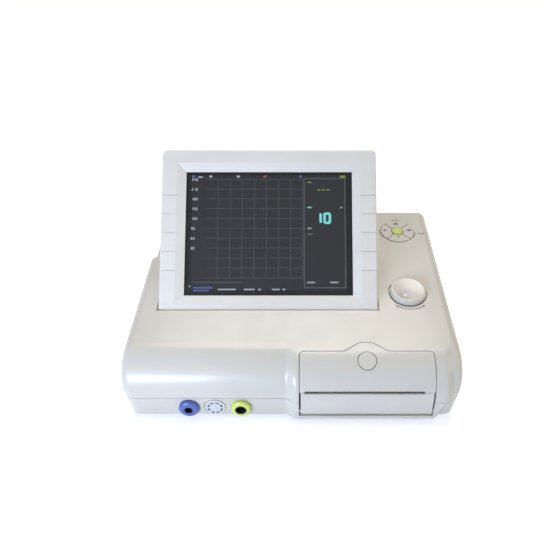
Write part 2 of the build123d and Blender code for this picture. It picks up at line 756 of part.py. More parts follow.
def tongue():
    """The rim that stands out of the base and keeps the upper shell in line."""
    low = PARTING_HEIGHT - TONGUE_DROP
    core = body_form(WALL + TONGUE_WALL)
    ring = (body_form(WALL) - core) & below(PARTING_HEIGHT - PARTING_GAP) & above(low)
    rise = (body_form(WALL + SNUG) - core) & above(low) & below(PARTING_HEIGHT + TONGUE_RISE)
    behind = FRONT_Y + LIP_SETBACK / 2
    whole = (ring + rise) - box(SURROUND_LEFT, SURROUND_RIGHT, PRINTER_FRONT_Y, behind, 0, DECK_HEIGHT)
    reach = SOCKET_PITCH * 3 / 2
    end = FRONT_Y + SOCKET_DEPTH
    whole = whole - box(SOCKET_X - reach, SOCKET_X + reach, FRONT_Y + WALL, end, 0, DECK_HEIGHT)
    return whole - box(TERMINAL_LEFT - WALL, TERMINAL_RIGHT + WALL, PLATE_Y, REAR_Y, 0, DECK_HEIGHT)


def base_shell():
    """Floor, low walls, screw columns, board posts and the door's hinge blocks."""
    shell = (WALLS & below(PARTING_HEIGHT - PARTING_GAP)) + tongue()
    columns = [post(x, y, FOOT_HEIGHT, PARTING_HEIGHT - PARTING_GAP, BOSS_RADIUS) & OUTER
               for x, y in case_screw_places()]
    posts = [post(x, y, FOOT_HEIGHT + WALL / 2, FLOOR_TOP + FLOOR_POST_HEIGHT, FLOOR_POST_RADIUS)
             for x, y in board_places(MAIN_BOARD_X, MAIN_BOARD_Y, MAIN_BOARD_WIDTH, MAIN_BOARD_DEPTH)]
    blocks = []
    for edge, side in ((DOOR_LEFT - DOOR_GAP, -1), (DOOR_RIGHT + DOOR_GAP, 1)):
        x0, x1 = sorted((edge, edge + side * HINGE_BLOCK_WIDTH))
        block = box(x0, x1, PRINTER_FRONT_Y + WALL / 2, PRINTER_FRONT_Y + HINGE_BLOCK_DEPTH,
                    FOOT_HEIGHT + WALL / 2, DOOR_AXIS_HEIGHT + HINGE_BLOCK_RISE)
        blocks.append(block & OUTER)
    shell = joined([shell] + columns + posts + blocks)
    cuts = []
    for x, y in case_screw_places():
        cuts.append(post(x, y, 0, FOOT_HEIGHT + CASE_SCREW_SINK, SCREW_HEAD_RADIUS + HEAD_FIT))
        cuts.append(post(x, y, 0, PARTING_HEIGHT + OVERRUN, SCREW_RADIUS + SCREW_FIT))
    for x, y in foot_places():
        cuts.append(post(x, y, 0, FLOOR_TOP + OVERRUN, FOOT_PLUG_RADIUS + FOOT_FIT))
    for x, y in board_places(MAIN_BOARD_X, MAIN_BOARD_Y, MAIN_BOARD_WIDTH, MAIN_BOARD_DEPTH):
        cuts.append(post(x, y, FLOOR_TOP, FLOOR_TOP + FLOOR_POST_HEIGHT + OVERRUN, SCREW_RADIUS + SCREW_FIT))
    for index in (-1, 0, 1):
        cuts.append(forward_rod(SOCKET_X + index * SOCKET_PITCH, SOCKET_HEIGHT, FRONT_Y - OVERRUN,
                                FRONT_Y + WALL * 2, SOCKET_TUBE_RADIUS + SOCKET_FIT))
    pin = DOOR_PIN_RADIUS + SCREW_FIT
    cuts.append(rod(DOOR_LEFT - DOOR_GAP - DOOR_PIN_IN_BASE, DOOR_LEFT, DOOR_AXIS_Y, DOOR_AXIS_HEIGHT, pin))
    cuts.append(rod(DOOR_RIGHT, DOOR_RIGHT + DOOR_GAP + DOOR_PIN_IN_BASE, DOOR_AXIS_Y, DOOR_AXIS_HEIGHT, pin))
    reach = SPEAKER_RADIUS * GRILLE_REACH_SHARE
    for index in range(GRILLE_COUNT):
        offset = (index - (GRILLE_COUNT - 1) / 2) * GRILLE_PITCH
        half = math.sqrt(max(reach * reach - offset * offset, GRILLE_PITCH * GRILLE_PITCH))
        cuts.append(box(SPEAKER_X - half, SPEAKER_X + half, SPEAKER_Y + offset - GRILLE_SLOT / 2,
                        SPEAKER_Y + offset + GRILLE_SLOT / 2, 0, FLOOR_TOP + SNUG))
    for cut in cuts:
        shell = shell - cut
    return shell


def upper_shell():
    """Deck, arc, recess and high walls, with the columns that take the screws."""
    shell = WALLS & above(PARTING_HEIGHT)
    recess = recess_form(0)
    columns = [(post(x, y, PARTING_HEIGHT, DECK_HEIGHT * 2, BOSS_RADIUS) & OUTER) - recess
               for x, y in case_screw_places()]
    bosses = []
    reach = PIN_IN_WALL + WALL
    for x0, x1 in ((RECESS_LEFT - reach, RECESS_LEFT), (RECESS_RIGHT, RECESS_RIGHT + reach)):
        bosses.append(rod(x0, x1, HINGE_POINT.Y, HINGE_POINT.Z, HINGE_BOSS_RADIUS) & OUTER)
    shell = joined([shell] + columns + bosses)
    bore = PIN_RADIUS + RUNNING_FIT
    cuts = [rod(RECESS_LEFT - PIN_IN_WALL, RECESS_LEFT + WALL, HINGE_POINT.Y, HINGE_POINT.Z, bore),
            rod(RECESS_RIGHT - WALL, RECESS_RIGHT + PIN_IN_WALL, HINGE_POINT.Y, HINGE_POINT.Z, bore)]
    tip = PARTING_HEIGHT + BOSS_BITE + SNUG
    for x, y in case_screw_places():
        cuts.append(post(x, y, PARTING_HEIGHT - OVERRUN, tip, SCREW_RADIUS + SCREW_FIT))
    cuts.append(disc(DECK, KNOB_X, KNOB_ALONG, -KNOB_WELL_DEPTH, OVERRUN, KNOB_RADIUS + KNOB_WELL_GAP))
    cuts.append(disc(DECK, KNOB_X, KNOB_ALONG, -WALL - OVERRUN, OVERRUN, KNOB_STEM_RADIUS + KNOB_WELL_GAP))
    cuts.append(disc(DECK, KEY_X, KEY_ALONG, -WALL - OVERRUN / 4, OVERRUN, KEY_FIELD_RADIUS))
    for index in range(VENT_COUNT):
        x = VENT_X + (index - (VENT_COUNT - 1) / 2) * VENT_PITCH
        cuts.append(box(x - VENT_SLOT / 2, x + VENT_SLOT / 2, REAR_Y - WALL * 2, REAR_Y + OVERRUN,
                        VENT_BOTTOM, VENT_BOTTOM + VENT_HEIGHT))
    for cut in cuts:
        shell = shell - cut
    return shell


# Small parts of the housing

def rubber_feet():
    """Four round feet, each plugged into the floor."""
    feet = []
    for x, y in foot_places():
        pad = post(x, y, 0, FOOT_HEIGHT, FOOT_RADIUS)
        pad = chamfer(pad.edges().group_by(Axis.Z)[0], FOOT_CHAMFER)
        feet.append(pad + post(x, y, FOOT_HEIGHT / 2, FLOOR_TOP - FOOT_PLUG_SHORT, FOOT_PLUG_RADIUS))
    return group(feet)


def screw(x, y, z_head, z_tip):
    """A pan-head screw with its head down."""
    head = post(x, y, z_head - SCREW_HEAD_HEIGHT, z_head, SCREW_HEAD_RADIUS)
    half = SCREW_SLOT_WIDTH / 2
    slot = box(x - SCREW_HEAD_RADIUS, x + SCREW_HEAD_RADIUS, y - half, y + half,
               z_head - SCREW_HEAD_HEIGHT - SNUG, z_head - SCREW_HEAD_HEIGHT * SCREW_SLOT_SHARE)
    return (head - slot) + post(x, y, z_head - SCREW_FIT, z_tip, SCREW_RADIUS)


def base_screws():
    """The screws of the base: six that close the housing, and four that hold the main board to its posts."""
    seat = FOOT_HEIGHT + CASE_SCREW_SINK
    screws = [screw(x, y, seat, PARTING_HEIGHT + BOSS_BITE) for x, y in case_screw_places()]
    top = FLOOR_TOP + FLOOR_POST_HEIGHT + BOARD_THICK
    for x, y in board_places(MAIN_BOARD_X, MAIN_BOARD_Y, MAIN_BOARD_WIDTH, MAIN_BOARD_DEPTH):
        head = post(x, y, top, top + SCREW_HEAD_HEIGHT, SCREW_HEAD_RADIUS)
        screws.append(head + post(x, y, FLOOR_TOP + SNUG, top + SNUG, SCREW_RADIUS))
    return group(screws)


def screen_pins():
    """The two pins that the screen turns on, held in the recess's side walls."""
    left = RECESS_LEFT - PIN_IN_WALL
    right = RECESS_RIGHT + PIN_IN_WALL
    length = PIN_IN_WALL + RECESS_SIDE_GAP + PIN_IN_CASE
    return [rod(left, left + length, HINGE_POINT.Y, HINGE_POINT.Z, PIN_RADIUS),
            rod(right - length, right, HINGE_POINT.Y, HINGE_POINT.Z, PIN_RADIUS)]


def door_pins():
    """The two pins that the printer's door turns on, held in the base's hinge blocks."""
    left = DOOR_LEFT - DOOR_GAP - DOOR_PIN_IN_BASE
    right = DOOR_RIGHT + DOOR_GAP + DOOR_PIN_IN_BASE
    length = DOOR_PIN_IN_BASE + DOOR_GAP + DOOR_PIN_IN_DOOR
    return [rod(left, left + length, DOOR_AXIS_Y, DOOR_AXIS_HEIGHT, DOOR_PIN_RADIUS),
            rod(right - length, right, DOOR_AXIS_Y, DOOR_AXIS_HEIGHT, DOOR_PIN_RADIUS)]


def hinge_pins():
    return group(screen_pins() + door_pins())


# Screen, built in its own frame: x across, y up the face from the hinge line, z out of the face

HALF_SCREEN = SCREEN_WIDTH / 2
SCREEN_TOP = SCREEN_HEIGHT - SCREEN_ROLL
WINDOW_BOTTOM = WINDOW_MARGIN - SCREEN_ROLL
WINDOW_MIDDLE = WINDOW_BOTTOM + WINDOW_HEIGHT / 2
GLASS_FRONT = SCREEN_ROLL - BEVEL_DEPTH - WINDOW_LIP
PANEL_FRONT = GLASS_FRONT - GLASS_THICK - PANEL_GAP
COVER_BACK = -SCREEN_ROLL - COVER_THICK


def window_block(grow, z0, z1):
    """A block behind or through the window, larger than it by grow on every side."""
    return box(-WINDOW_WIDTH / 2 - grow, WINDOW_WIDTH / 2 + grow, WINDOW_BOTTOM - grow,
               WINDOW_BOTTOM + WINDOW_HEIGHT + grow, z0, z1)


def screen_posts():
    """X and Y, in the screen's frame, of the screws that close the screen's case."""
    dx = HALF_SCREEN - BOSS_RADIUS - CASE_WALL / 2
    low = COVER_START + COVER_SLANT + BOSS_RADIUS
    high = SCREEN_TOP - COVER_TOP_SLANT - BOSS_RADIUS
    return [(sx * dx, y) for sx in (-1, 1) for y in (low, high)]


def screen_bezel():
    """The front frame, rolled round the hinge line at its bottom edge."""
    top = SCREEN_TOP
    roll = SCREEN_ROLL
    side = side_on(-HALF_SCREEN) * make_face(
        Line((0, roll), (top, roll)) + Line((top, roll), (top, -roll)) + Line((top, -roll), (0, -roll))
        + ThreePointArc((0, -roll), (-roll, 0), (0, roll)))
    frame = extrude(side, SCREEN_WIDTH)
    corners = [e for e in frame.edges() if abs(e.center().Y - top) < SNUG and abs(e.center().Z) < SNUG]
    frame = fillet(corners, BEZEL_CORNER)
    front = [e for e in frame.edges() if e.center().Z > roll - SNUG and e.center().Y > SNUG]
    front = [e for e in front if not (abs(e.center().X) < SNUG and e.center().Y < roll)]
    frame = fillet(front, BEZEL_EDGE)
    middle = WINDOW_MIDDLE
    bevel = BEVEL_WIDTH * 2
    face = Plane((0, middle, roll + SNUG)) * Rectangle(WINDOW_WIDTH + bevel, WINDOW_HEIGHT + bevel)
    throat = Plane((0, middle, roll - BEVEL_DEPTH)) * Rectangle(WINDOW_WIDTH, WINDOW_HEIGHT)
    frame = frame - loft([throat, face], ruled=True)
    frame = frame - window_block(0, -roll - OVERRUN, roll)
    frame = frame - window_block(GLASS_LAP + GLASS_GAP, -roll - OVERRUN, GLASS_FRONT)
    hollow = box(-HALF_SCREEN + CASE_WALL, HALF_SCREEN - CASE_WALL, COVER_START + CASE_WALL, top - CASE_WALL,
                 -roll - OVERRUN, PANEL_FRONT)
    bosses = [post(x, y, -roll, PANEL_FRONT + SNUG, BOSS_RADIUS) for x, y in screen_posts()]
    frame = joined([frame - hollow] + bosses)
    for x, y in screen_posts():
        frame = frame - post(x, y, -roll - OVERRUN, PANEL_FRONT, SCREW_RADIUS + SCREW_FIT)
    half_grooves = (GROOVE_COUNT - 1) / 2
    for index in range(GROOVE_COUNT):
        low = middle + (index - half_grooves) * GROOVE_PITCH_SHARE * WINDOW_HEIGHT - GROOVE_WIDTH / 2
        high = low + GROOVE_WIDTH
        for sx in (-1, 1):
            x0, x1 = sorted((sx * (HALF_SCREEN + OVERRUN), sx * (HALF_SCREEN - GROOVE_LENGTH)))
            frame = frame - box(x0, x1, low, high, roll - GROOVE_DEPTH, roll + OVERRUN)
            x2, x3 = sorted((sx * (HALF_SCREEN + OVERRUN), sx * (HALF_SCREEN - GROOVE_DEPTH)))
            frame = frame - box(x2, x3, low, high, 0, roll + OVERRUN)
    bore = PIN_RADIUS + RUNNING_FIT + BUSH_WALL
    depth = PIN_IN_CASE + SNUG
    frame = frame - rod(-HALF_SCREEN - OVERRUN, -HALF_SCREEN + depth, 0, 0, bore)
    frame = frame - rod(HALF_SCREEN - depth, HALF_SCREEN + OVERRUN, 0, 0, bore)
    return SCREEN * frame


def hinge_bushes():
    """Brass bushes in the ends of the bezel's roll."""
    outer = PIN_RADIUS + RUNNING_FIT + BUSH_WALL - SCREW_FIT / 2
    inner = PIN_RADIUS + RUNNING_FIT
    bushes = []
    for x0, x1 in ((-HALF_SCREEN, -HALF_SCREEN + PIN_IN_CASE), (HALF_SCREEN - PIN_IN_CASE, HALF_SCREEN)):
        bushes.append(SCREEN * (rod(x0, x1, 0, 0, outer) - rod(x0 - OVERRUN, x1 + OVERRUN, 0, 0, inner)))
    return group(bushes)


def cover_profile(inset):
    """The back cover seen from the side, slanted at the bottom so that it can turn."""
    top = SCREEN_TOP - inset
    back = COVER_BACK + inset
    low = COVER_START + inset
    front = -SCREEN_ROLL
    return make_face(Polyline((low, front), (low + COVER_SLANT, back), (top - COVER_TOP_SLANT, back),
                              (top, back + COVER_TOP_SLANT), (top, front), close=True))


def screen_back_cover():
    """The hollow rear half of the screen's case."""
    half = HALF_SCREEN
    outer = across(cover_profile(0), -half, half)
    ends = [e for e in outer.edges() if abs(e.center().X) > half - SNUG]
    outer = fillet([e for e in ends if e.center().Z < -SCREEN_ROLL - SNUG], BEZEL_EDGE)
    inner = across(cover_profile(CASE_WALL), -half + CASE_WALL, half - CASE_WALL)
    shell = outer - inner
    front = -SCREEN_ROLL - SNUG
    bosses = [post(x, y, COVER_BACK + SNUG, front, BOSS_RADIUS) & outer for x, y in screen_posts()]
    board = board_places(0, WINDOW_MIDDLE, DISPLAY_BOARD_WIDTH, DISPLAY_BOARD_HEIGHT)
    rests = [post(x, y, COVER_BACK + SNUG, display_board_back(), FLOOR_POST_RADIUS) for x, y in board]
    shell = joined([shell] + bosses + rests)
    for x, y in screen_posts():
        seat = COVER_BACK + SCREW_HEAD_HEIGHT * 2
        shell = shell - post(x, y, COVER_BACK - OVERRUN, seat, SCREW_HEAD_RADIUS + HEAD_FIT)
        shell = shell - post(x, y, COVER_BACK - OVERRUN, 0, SCREW_RADIUS + SCREW_FIT)
    for index in range(VENT_COUNT):
        x = (index - (VENT_COUNT - 1) / 2) * VENT_PITCH * 2
        top = SCREEN_TOP - COVER_TOP_SLANT - VENT_HEIGHT / 2
        shell = shell - box(x - VENT_SLOT / 2, x + VENT_SLOT / 2, top - VENT_HEIGHT, top, COVER_BACK - OVERRUN,
                            COVER_BACK + CASE_WALL + SNUG)
    return SCREEN * shell


def display_board_back():
    """The level of the display board's rear face."""
    return PANEL_FRONT - PANEL_THICK - DISPLAY_BOARD_GAP - BOARD_THICK


def screen_screws():
    """Four screws that hold the back cover to the bezel."""
    seat = COVER_BACK + SCREW_HEAD_HEIGHT * 2
    return group([SCREEN * screw(x, y, seat, PANEL_FRONT - SNUG) for x, y in screen_posts()])


def lcd_window():
    """The clear pane behind the bezel's opening."""
    return SCREEN * window_block(GLASS_LAP, GLASS_FRONT - GLASS_THICK, GLASS_FRONT)


def lcd_panel():
    """The display module, with a thin metal lip round its picture."""
    module = window_block(PANEL_LAP, PANEL_FRONT - PANEL_THICK, PANEL_FRONT)
    return SCREEN * chamfer(module.edges().group_by(Axis.Z)[0], BEZEL_EDGE / 2)


def display_board():
    """The board that drives the display, on four rests inside the back cover."""
    back = display_board_back()
    half_w = DISPLAY_BOARD_WIDTH / 2
    half_h = DISPLAY_BOARD_HEIGHT / 2
    board = box(-half_w, half_w, WINDOW_MIDDLE - half_h, WINDOW_MIDDLE + half_h, back, back + BOARD_THICK)
    chips = []
    x = -half_w + POST_INSET * 3
    for share in CHIP_SHARES:
        size = share * MAIN_BOARD_WIDTH
        chips.append(box(x, x + size, WINDOW_MIDDLE - size / 2, WINDOW_MIDDLE + size / 2,
                         back + BOARD_THICK - SNUG, back + BOARD_THICK + CHIP_HEIGHT / 2))
        x = x + size + POST_INSET
    return SCREEN * joined([board] + chips)


# Push knob

KNOB_FLOOR = -KNOB_WELL_DEPTH + KNOB_TRAVEL + KNOB_FLOAT
ENCODER_TOP = -WALL - ENCODER_NECK_RISE


def dish_sphere(radius, depth):
    """Radius of the sphere that leaves a dish of this radius and depth."""
    return (radius * radius + depth * depth) / (2 * depth)


def control_knob():
    """The round knob: rounded rim, dished top and a finger dimple."""
    top = KNOB_FLOOR + KNOB_HEIGHT
    knob = post(0, 0, KNOB_FLOOR, top, KNOB_RADIUS)
    knob = fillet(knob.edges().group_by(Axis.Z)[-1], KNOB_EDGE)
    sphere = dish_sphere(KNOB_DISH_RADIUS, KNOB_DISH_DEPTH)
    knob = knob - Pos(0, 0, top - KNOB_DISH_DEPTH + sphere) * Sphere(sphere)
    turn = math.radians(KNOB_DIMPLE_TURN)
    spot = dish_sphere(KNOB_DIMPLE_RADIUS, KNOB_DIMPLE_DEPTH)
    knob = knob - Pos(KNOB_DIMPLE_OUT * math.cos(turn), KNOB_DIMPLE_OUT * math.sin(turn),
                      top - KNOB_DISH_DEPTH - KNOB_DIMPLE_DEPTH + spot) * Sphere(spot)
    stem_low = ENCODER_TOP + KNOB_TRAVEL + KNOB_FLOAT * 2
    knob = knob + post(0, 0, stem_low, KNOB_FLOOR + SNUG, KNOB_STEM_RADIUS)
    knob = knob - post(0, 0, -WALL - OVERRUN, KNOB_FLOOR + KNOB_HEIGHT / 3, KNOB_BORE_RADIUS + RUNNING_FIT)
    return DECK * Pos(KNOB_X, KNOB_ALONG, 0) * knob


def encoder_shaft():
    """The plunger that turns in the encoder's neck and carries the knob."""
    low = ENCODER_TOP - ENCODER_HEIGHT / 2
    return disc(DECK, KNOB_X, KNOB_ALONG, low, KNOB_FLOOR + KNOB_HEIGHT / 3 - SNUG, KNOB_BORE_RADIUS)


def encoder_sleeve():
    """The sleeve that slides in the encoder when the knob is pushed; the shaft turns in it."""
    low = ENCODER_TOP - ENCODER_HEIGHT / 2
    bore = KNOB_BORE_RADIUS + RUNNING_FIT
    sleeve = post(0, 0, low, ENCODER_TOP + KNOB_FLOAT, bore + SLEEVE_WALL)
    return DECK * Pos(KNOB_X, KNOB_ALONG, 0) * (sleeve - post(0, 0, low - OVERRUN, 0, bore))


def encoder_body():
    """The encoder's case and threaded neck, on its board."""
    half = ENCODER_WIDTH / 2
    low = ENCODER_TOP - ENCODER_HEIGHT
    case = box(-half, half, -half, half, low, ENCODER_TOP)
    neck = post(0, 0, ENCODER_TOP - SNUG, ENCODER_TOP + KNOB_FLOAT, ENCODER_NECK_RADIUS)
    bore = KNOB_BORE_RADIUS + SLEEVE_WALL + RUNNING_FIT * 2
    well = post(0, 0, low + ENCODER_HEIGHT / 2 - KNOB_TRAVEL - KNOB_FLOAT, 0, bore)
    return DECK * Pos(KNOB_X, KNOB_ALONG, 0) * ((case + neck) - well)


def encoder_board():
    """The small board under the encoder, with its posts up to the deck."""
    half = ENCODER_BOARD / 2
    low = ENCODER_TOP - ENCODER_HEIGHT
    board = box(-half, half, -half, half, low - BOARD_THICK, low)
    spread = half - FLOOR_POST_RADIUS
    posts = [post(sx * spread, sy * spread, low - SNUG, -WALL, FLOOR_POST_RADIUS - WALL / 2)
             for sx in (-1, 1) for sy in (-1, 1)]
    return DECK * Pos(KNOB_X, KNOB_ALONG, 0) * joined([board] + posts)


# Key cluster

KEY_BOTTOM = KEY_PROUD - KEY_DEPTH
MAT_TOP = KEY_BOTTOM - KEY_TRAVEL - MAT_CLEAR
KEY_BOARD_TOP = MAT_TOP - MAT_THICK
KEYS = DECK * Pos(KEY_X, KEY_ALONG, 0)


def key_start():
    """The round middle key."""
    key = post(0, 0, KEY_BOTTOM, START_PROUD, START_RADIUS)
    return KEYS * fillet(key.edges().group_by(Axis.Z)[-1], START_PROUD / 2)


def ring_key(index):
    """One of the four keys round the middle one."""
    inner = START_RADIUS + KEY_GAP
    outer = KEY_FIELD_RADIUS - KEY_GAP
    ring = post(0, 0, KEY_BOTTOM, KEY_PROUD, outer) - post(0, 0, KEY_BOTTOM - OVERRUN, OVERRUN, inner)
    quarter = box(0, outer * 2, -outer * 2, outer * 2, KEY_BOTTOM - OVERRUN, OVERRUN)
    first = Rot(0, 0, -QUARTER_TURN / 2) * Pos(KEY_GAP / 2, 0, 0) * quarter
    second = Rot(0, 0, QUARTER_TURN / 2) * Pos(KEY_GAP / 2, 0, 0) * quarter
    key = ring & first & second
    key = chamfer(key.edges().group_by(Axis.Z)[-1], KEY_EDGE)
    return KEYS * Rot(0, 0, QUARTER_TURN * index) * key


def key_mat():
    """The rubber mat that springs the keys back."""
    return KEYS * post(0, 0, MAT_TOP - MAT_THICK, MAT_TOP, KEY_FIELD_RADIUS + MAT_LAP)


def keypad_board():
    """The board under the mat, hung from the deck by four posts."""
    half = KEY_FIELD_RADIUS + KEY_BOARD_LAP
    board = box(-half, half, -half, half, KEY_BOARD_TOP - BOARD_THICK, KEY_BOARD_TOP)
    spread = half - FLOOR_POST_RADIUS
    posts = [post(sx * spread, sy * spread, KEY_BOARD_TOP - SNUG, -WALL, FLOOR_POST_RADIUS - WALL / 2)
             for sx in (-1, 1) for sy in (-1, 1)]
    return KEYS * joined([board] + posts)


# Printer door

def door_skin():
    """The curved skin of the surround, within the door's outline."""
    left = PRINTER_X - DOOR_WIDTH
    right = PRINTER_X + DOOR_WIDTH
    outside = across(front_profile(0, PRINTER_PROUD), left, right)
    return (outside - across(front_profile(WALL, PRINTER_PROUD), left, right)) & door_prism(0)


DOOR_SKIN = door_skin()
SLOT_LEFT = PAPER_X - PAPER_WIDTH / 2 + SLOT_TRIM
SLOT_RIGHT = PAPER_X + PAPER_WIDTH / 2 - SLOT_TRIM


def paper_slot():
    half = SLOT_OPENING / 2
    return box(SLOT_LEFT, SLOT_RIGHT, PRINTER_FRONT_Y - OVERRUN, PLATEN_Y, SLOT_HEIGHT_AT - half,
               SLOT_HEIGHT_AT + half)


def door_cover():
    """The upper panel, with the hole for the release button."""
    cover = (DOOR_SKIN & above(SLOT_HEIGHT_AT + PANEL_JOINT / 2)) - paper_slot()
    return cover - disc(BUTTON, 0, 0, -OVERRUN, OVERRUN, BUTTON_RADIUS + BUTTON_GAP)


def door_front_panel():
    """The lower panel, rolled round the hinge line at its bottom edge."""
    panel = (DOOR_SKIN & below(SLOT_HEIGHT_AT - PANEL_JOINT / 2)) & above(DOOR_AXIS_HEIGHT)
    panel = (panel - paper_slot()) + rod(DOOR_LEFT, DOOR_RIGHT, DOOR_AXIS_Y, DOOR_AXIS_HEIGHT, DOOR_ROLL)
    skin = box(DOOR_LEFT, DOOR_RIGHT, DOOR_AXIS_Y - DOOR_ROLL, DOOR_AXIS_Y, DOOR_AXIS_HEIGHT,
               DOOR_AXIS_HEIGHT + WALL)
    left = DOOR_LEFT + FRONT_PANEL_TRIM
    right = DOOR_RIGHT - FRONT_PANEL_TRIM
    panel = (panel + skin) & box(left, right, PRINTER_FRONT_Y, FRONT_Y + FRONT_RADIUS, 0, DECK_HEIGHT)
    for x0, x1 in ((DOOR_LEFT - OVERRUN, DOOR_LEFT + DOOR_PIN_IN_DOOR + SNUG),
                   (DOOR_RIGHT - DOOR_PIN_IN_DOOR - SNUG, DOOR_RIGHT + OVERRUN)):
        panel = panel - rod(x0, x1, DOOR_AXIS_Y, DOOR_AXIS_HEIGHT, DOOR_PIN_RADIUS + RUNNING_FIT)
    return panel


CHEEK_LEFT = DOOR_LEFT + CHEEK_OUT
CHEEK_RIGHT = PAPER_X + PAPER_WIDTH / 2 + CHEEK_OUT


def door_frame():
    """The door's inner frame: two cheeks, two rails and the latch's ears."""
    depth = PRINTER_FRONT_Y + WALL + CHEEK_DEPTH
    inside = across(front_profile(WALL + SNUG, PRINTER_PROUD), DOOR_LEFT, DOOR_RIGHT)
    pieces = []
    for x in (CHEEK_LEFT, CHEEK_RIGHT):
        pieces.append(box(x, x + CHEEK_THICK, PRINTER_FRONT_Y, depth, CHEEK_BOTTOM, CHEEK_TOP) & inside)
    end = CHEEK_RIGHT + CHEEK_THICK
    front = PRINTER_FRONT_Y + WALL + SNUG
    pieces.append(box(CHEEK_LEFT, end, front, front + RAIL_DEPTH, LOW_RAIL_AT, LOW_RAIL_AT + RAIL_HEIGHT))
    rail = PRINTER_FRONT_Y + HIGH_RAIL_SETBACK
    high_rail = box(CHEEK_LEFT, end, rail, rail + RAIL_DEPTH, HIGH_RAIL_AT, HIGH_RAIL_AT + RAIL_HEIGHT)
    pieces.append(high_rail & inside)
    ear_end = PRINTER_FRONT_Y + LATCH_SETBACK
    pin = LATCH_PIN_RADIUS + SCREW_FIT / 2
    for x in (PRINTER_X - EAR_SPREAD, PRINTER_X + EAR_SPREAD - EAR_THICK):
        half = EAR_HEIGHT / 2
        ear = box(x, x + EAR_THICK, rail, ear_end, LATCH_HEIGHT - half, LATCH_HEIGHT + half)
        root = box(x, x + EAR_THICK, rail, rail + RAIL_DEPTH, HIGH_RAIL_AT, LATCH_HEIGHT + half)
        ear = (ear + root + rod(x, x + EAR_THICK, ear_end, LATCH_HEIGHT, half)) & inside
        pieces.append(ear - rod(x - OVERRUN, x + OVERRUN, ear_end, LATCH_HEIGHT, pin))
    bush = PLATEN_BUSH_RADIUS + SCREW_FIT / 2
    return joined(pieces) - rod(CHEEK_LEFT - OVERRUN, end + OVERRUN, PLATEN_Y, PLATEN_Z, bush)


def tear_bar():
    """The toothed steel strip above the slot."""
    low = SLOT_HEIGHT_AT + SLOT_OPENING / 2 + TEAR_BAR_RISE
    cy, cz, radius = front_arc(WALL, PRINTER_PROUD)
    lift = low + TEAR_BAR_THICK - cz
    front = cy - math.sqrt(radius * radius - lift * lift) + SNUG * 2
    teeth = int((CHEEK_RIGHT - CHEEK_LEFT - CHEEK_THICK) // TOOTH_PITCH)
    left = CHEEK_LEFT + CHEEK_THICK
    points = [(left, front + TEAR_BAR_DEPTH), (left, front + TOOTH_DEPTH)]
    for index in range(teeth):
        points.append((left + (index + 1 / 2) * TOOTH_PITCH, front))
        points.append((left + (index + 1) * TOOTH_PITCH, front + TOOTH_DEPTH))
    points = points + [(CHEEK_RIGHT, front + TOOTH_DEPTH), (CHEEK_RIGHT, front + TEAR_BAR_DEPTH)]
    return upright(make_face(Polyline(*points, close=True)), low, low + TEAR_BAR_THICK)


def door_button():
    """The round release button, cut to the door's curve, with a cross bar and a stem behind it."""
    left = PRINTER_X - DOOR_WIDTH
    right = PRINTER_X + DOOR_WIDTH
    skin = across(front_profile(-BUTTON_PROUD, PRINTER_PROUD), left, right)
    skin = skin - across(front_profile(WALL, PRINTER_PROUD), left, right)
    cap = disc(BUTTON, 0, 0, -OVERRUN, OVERRUN, BUTTON_RADIUS) & skin
    bar_top = -WALL - BUTTON_BAR_GAP
    bar = frame_box(BUTTON, -BUTTON_BAR_HALF, BUTTON_BAR_HALF, -BUTTON_BAR_WIDTH / 2, BUTTON_BAR_WIDTH / 2,
                    bar_top - BUTTON_BAR_THICK, bar_top)
    neck = disc(BUTTON, 0, 0, bar_top - SNUG, -WALL + SNUG, BUTTON_RADIUS / 2)
    stem = disc(BUTTON, 0, 0, -BUTTON_STEM_DEPTH, bar_top - SNUG, BUTTON_STEM_RADIUS)
    return joined([cap, neck, bar, stem])


LATCH_Y = PRINTER_FRONT_Y + LATCH_SETBACK
KEEPER_Y = PRINTER_FRONT_Y + KEEPER_SETBACK
KEEPER_Z = LATCH_HEIGHT - KEEPER_RADIUS


def door_latch():
    """The see-saw latch: the button tips its front arm down, and its rear nose lifts off the keeper."""
    x0 = PRINTER_X - LATCH_WIDTH / 2
    x1 = PRINTER_X + LATCH_WIDTH / 2
    half = LATCH_THICK / 2
    hub = rod(x0, x1, LATCH_Y, LATCH_HEIGHT, LATCH_HUB_RADIUS)
    arm = box(x0, x1, -LATCH_FRONT_ARM, 0, -half, half)
    front = Pos(0, LATCH_Y, LATCH_HEIGHT) * Rot(QUARTER_TURN - BUTTON_ANGLE, 0, 0) * arm
    level = KEEPER_Z + KEEPER_RADIUS + KEEPER_CLEAR + LATCH_NOSE_DROP
    rear = box(x0, x1, LATCH_Y, LATCH_Y + LATCH_REAR_ARM, level - LATCH_THICK / 2, level + LATCH_THICK / 2)
    nose = box(x0, x1, LATCH_Y + LATCH_REAR_ARM - LATCH_THICK, LATCH_Y + LATCH_REAR_ARM,
               level - LATCH_NOSE_DROP, level + LATCH_THICK / 2)
    latch = joined([hub, front, rear, nose])
    return latch - rod(x0 - OVERRUN, x1 + OVERRUN, LATCH_Y, LATCH_HEIGHT, LATCH_PIN_RADIUS + RUNNING_FIT)


def latch_pin():
    return rod(PRINTER_X - EAR_SPREAD, PRINTER_X + EAR_SPREAD, LATCH_Y, LATCH_HEIGHT, LATCH_PIN_RADIUS)


# Printing mechanism

def direction_to_idler():
    """The unit step from the platen to the idler, square to the line from the door's hinge."""
    dy = PLATEN_Y - DOOR_AXIS_Y
    dz = PLATEN_Z - DOOR_AXIS_HEIGHT
    reach = math.hypot(dy, dz)
    return dz / reach, -dy / reach


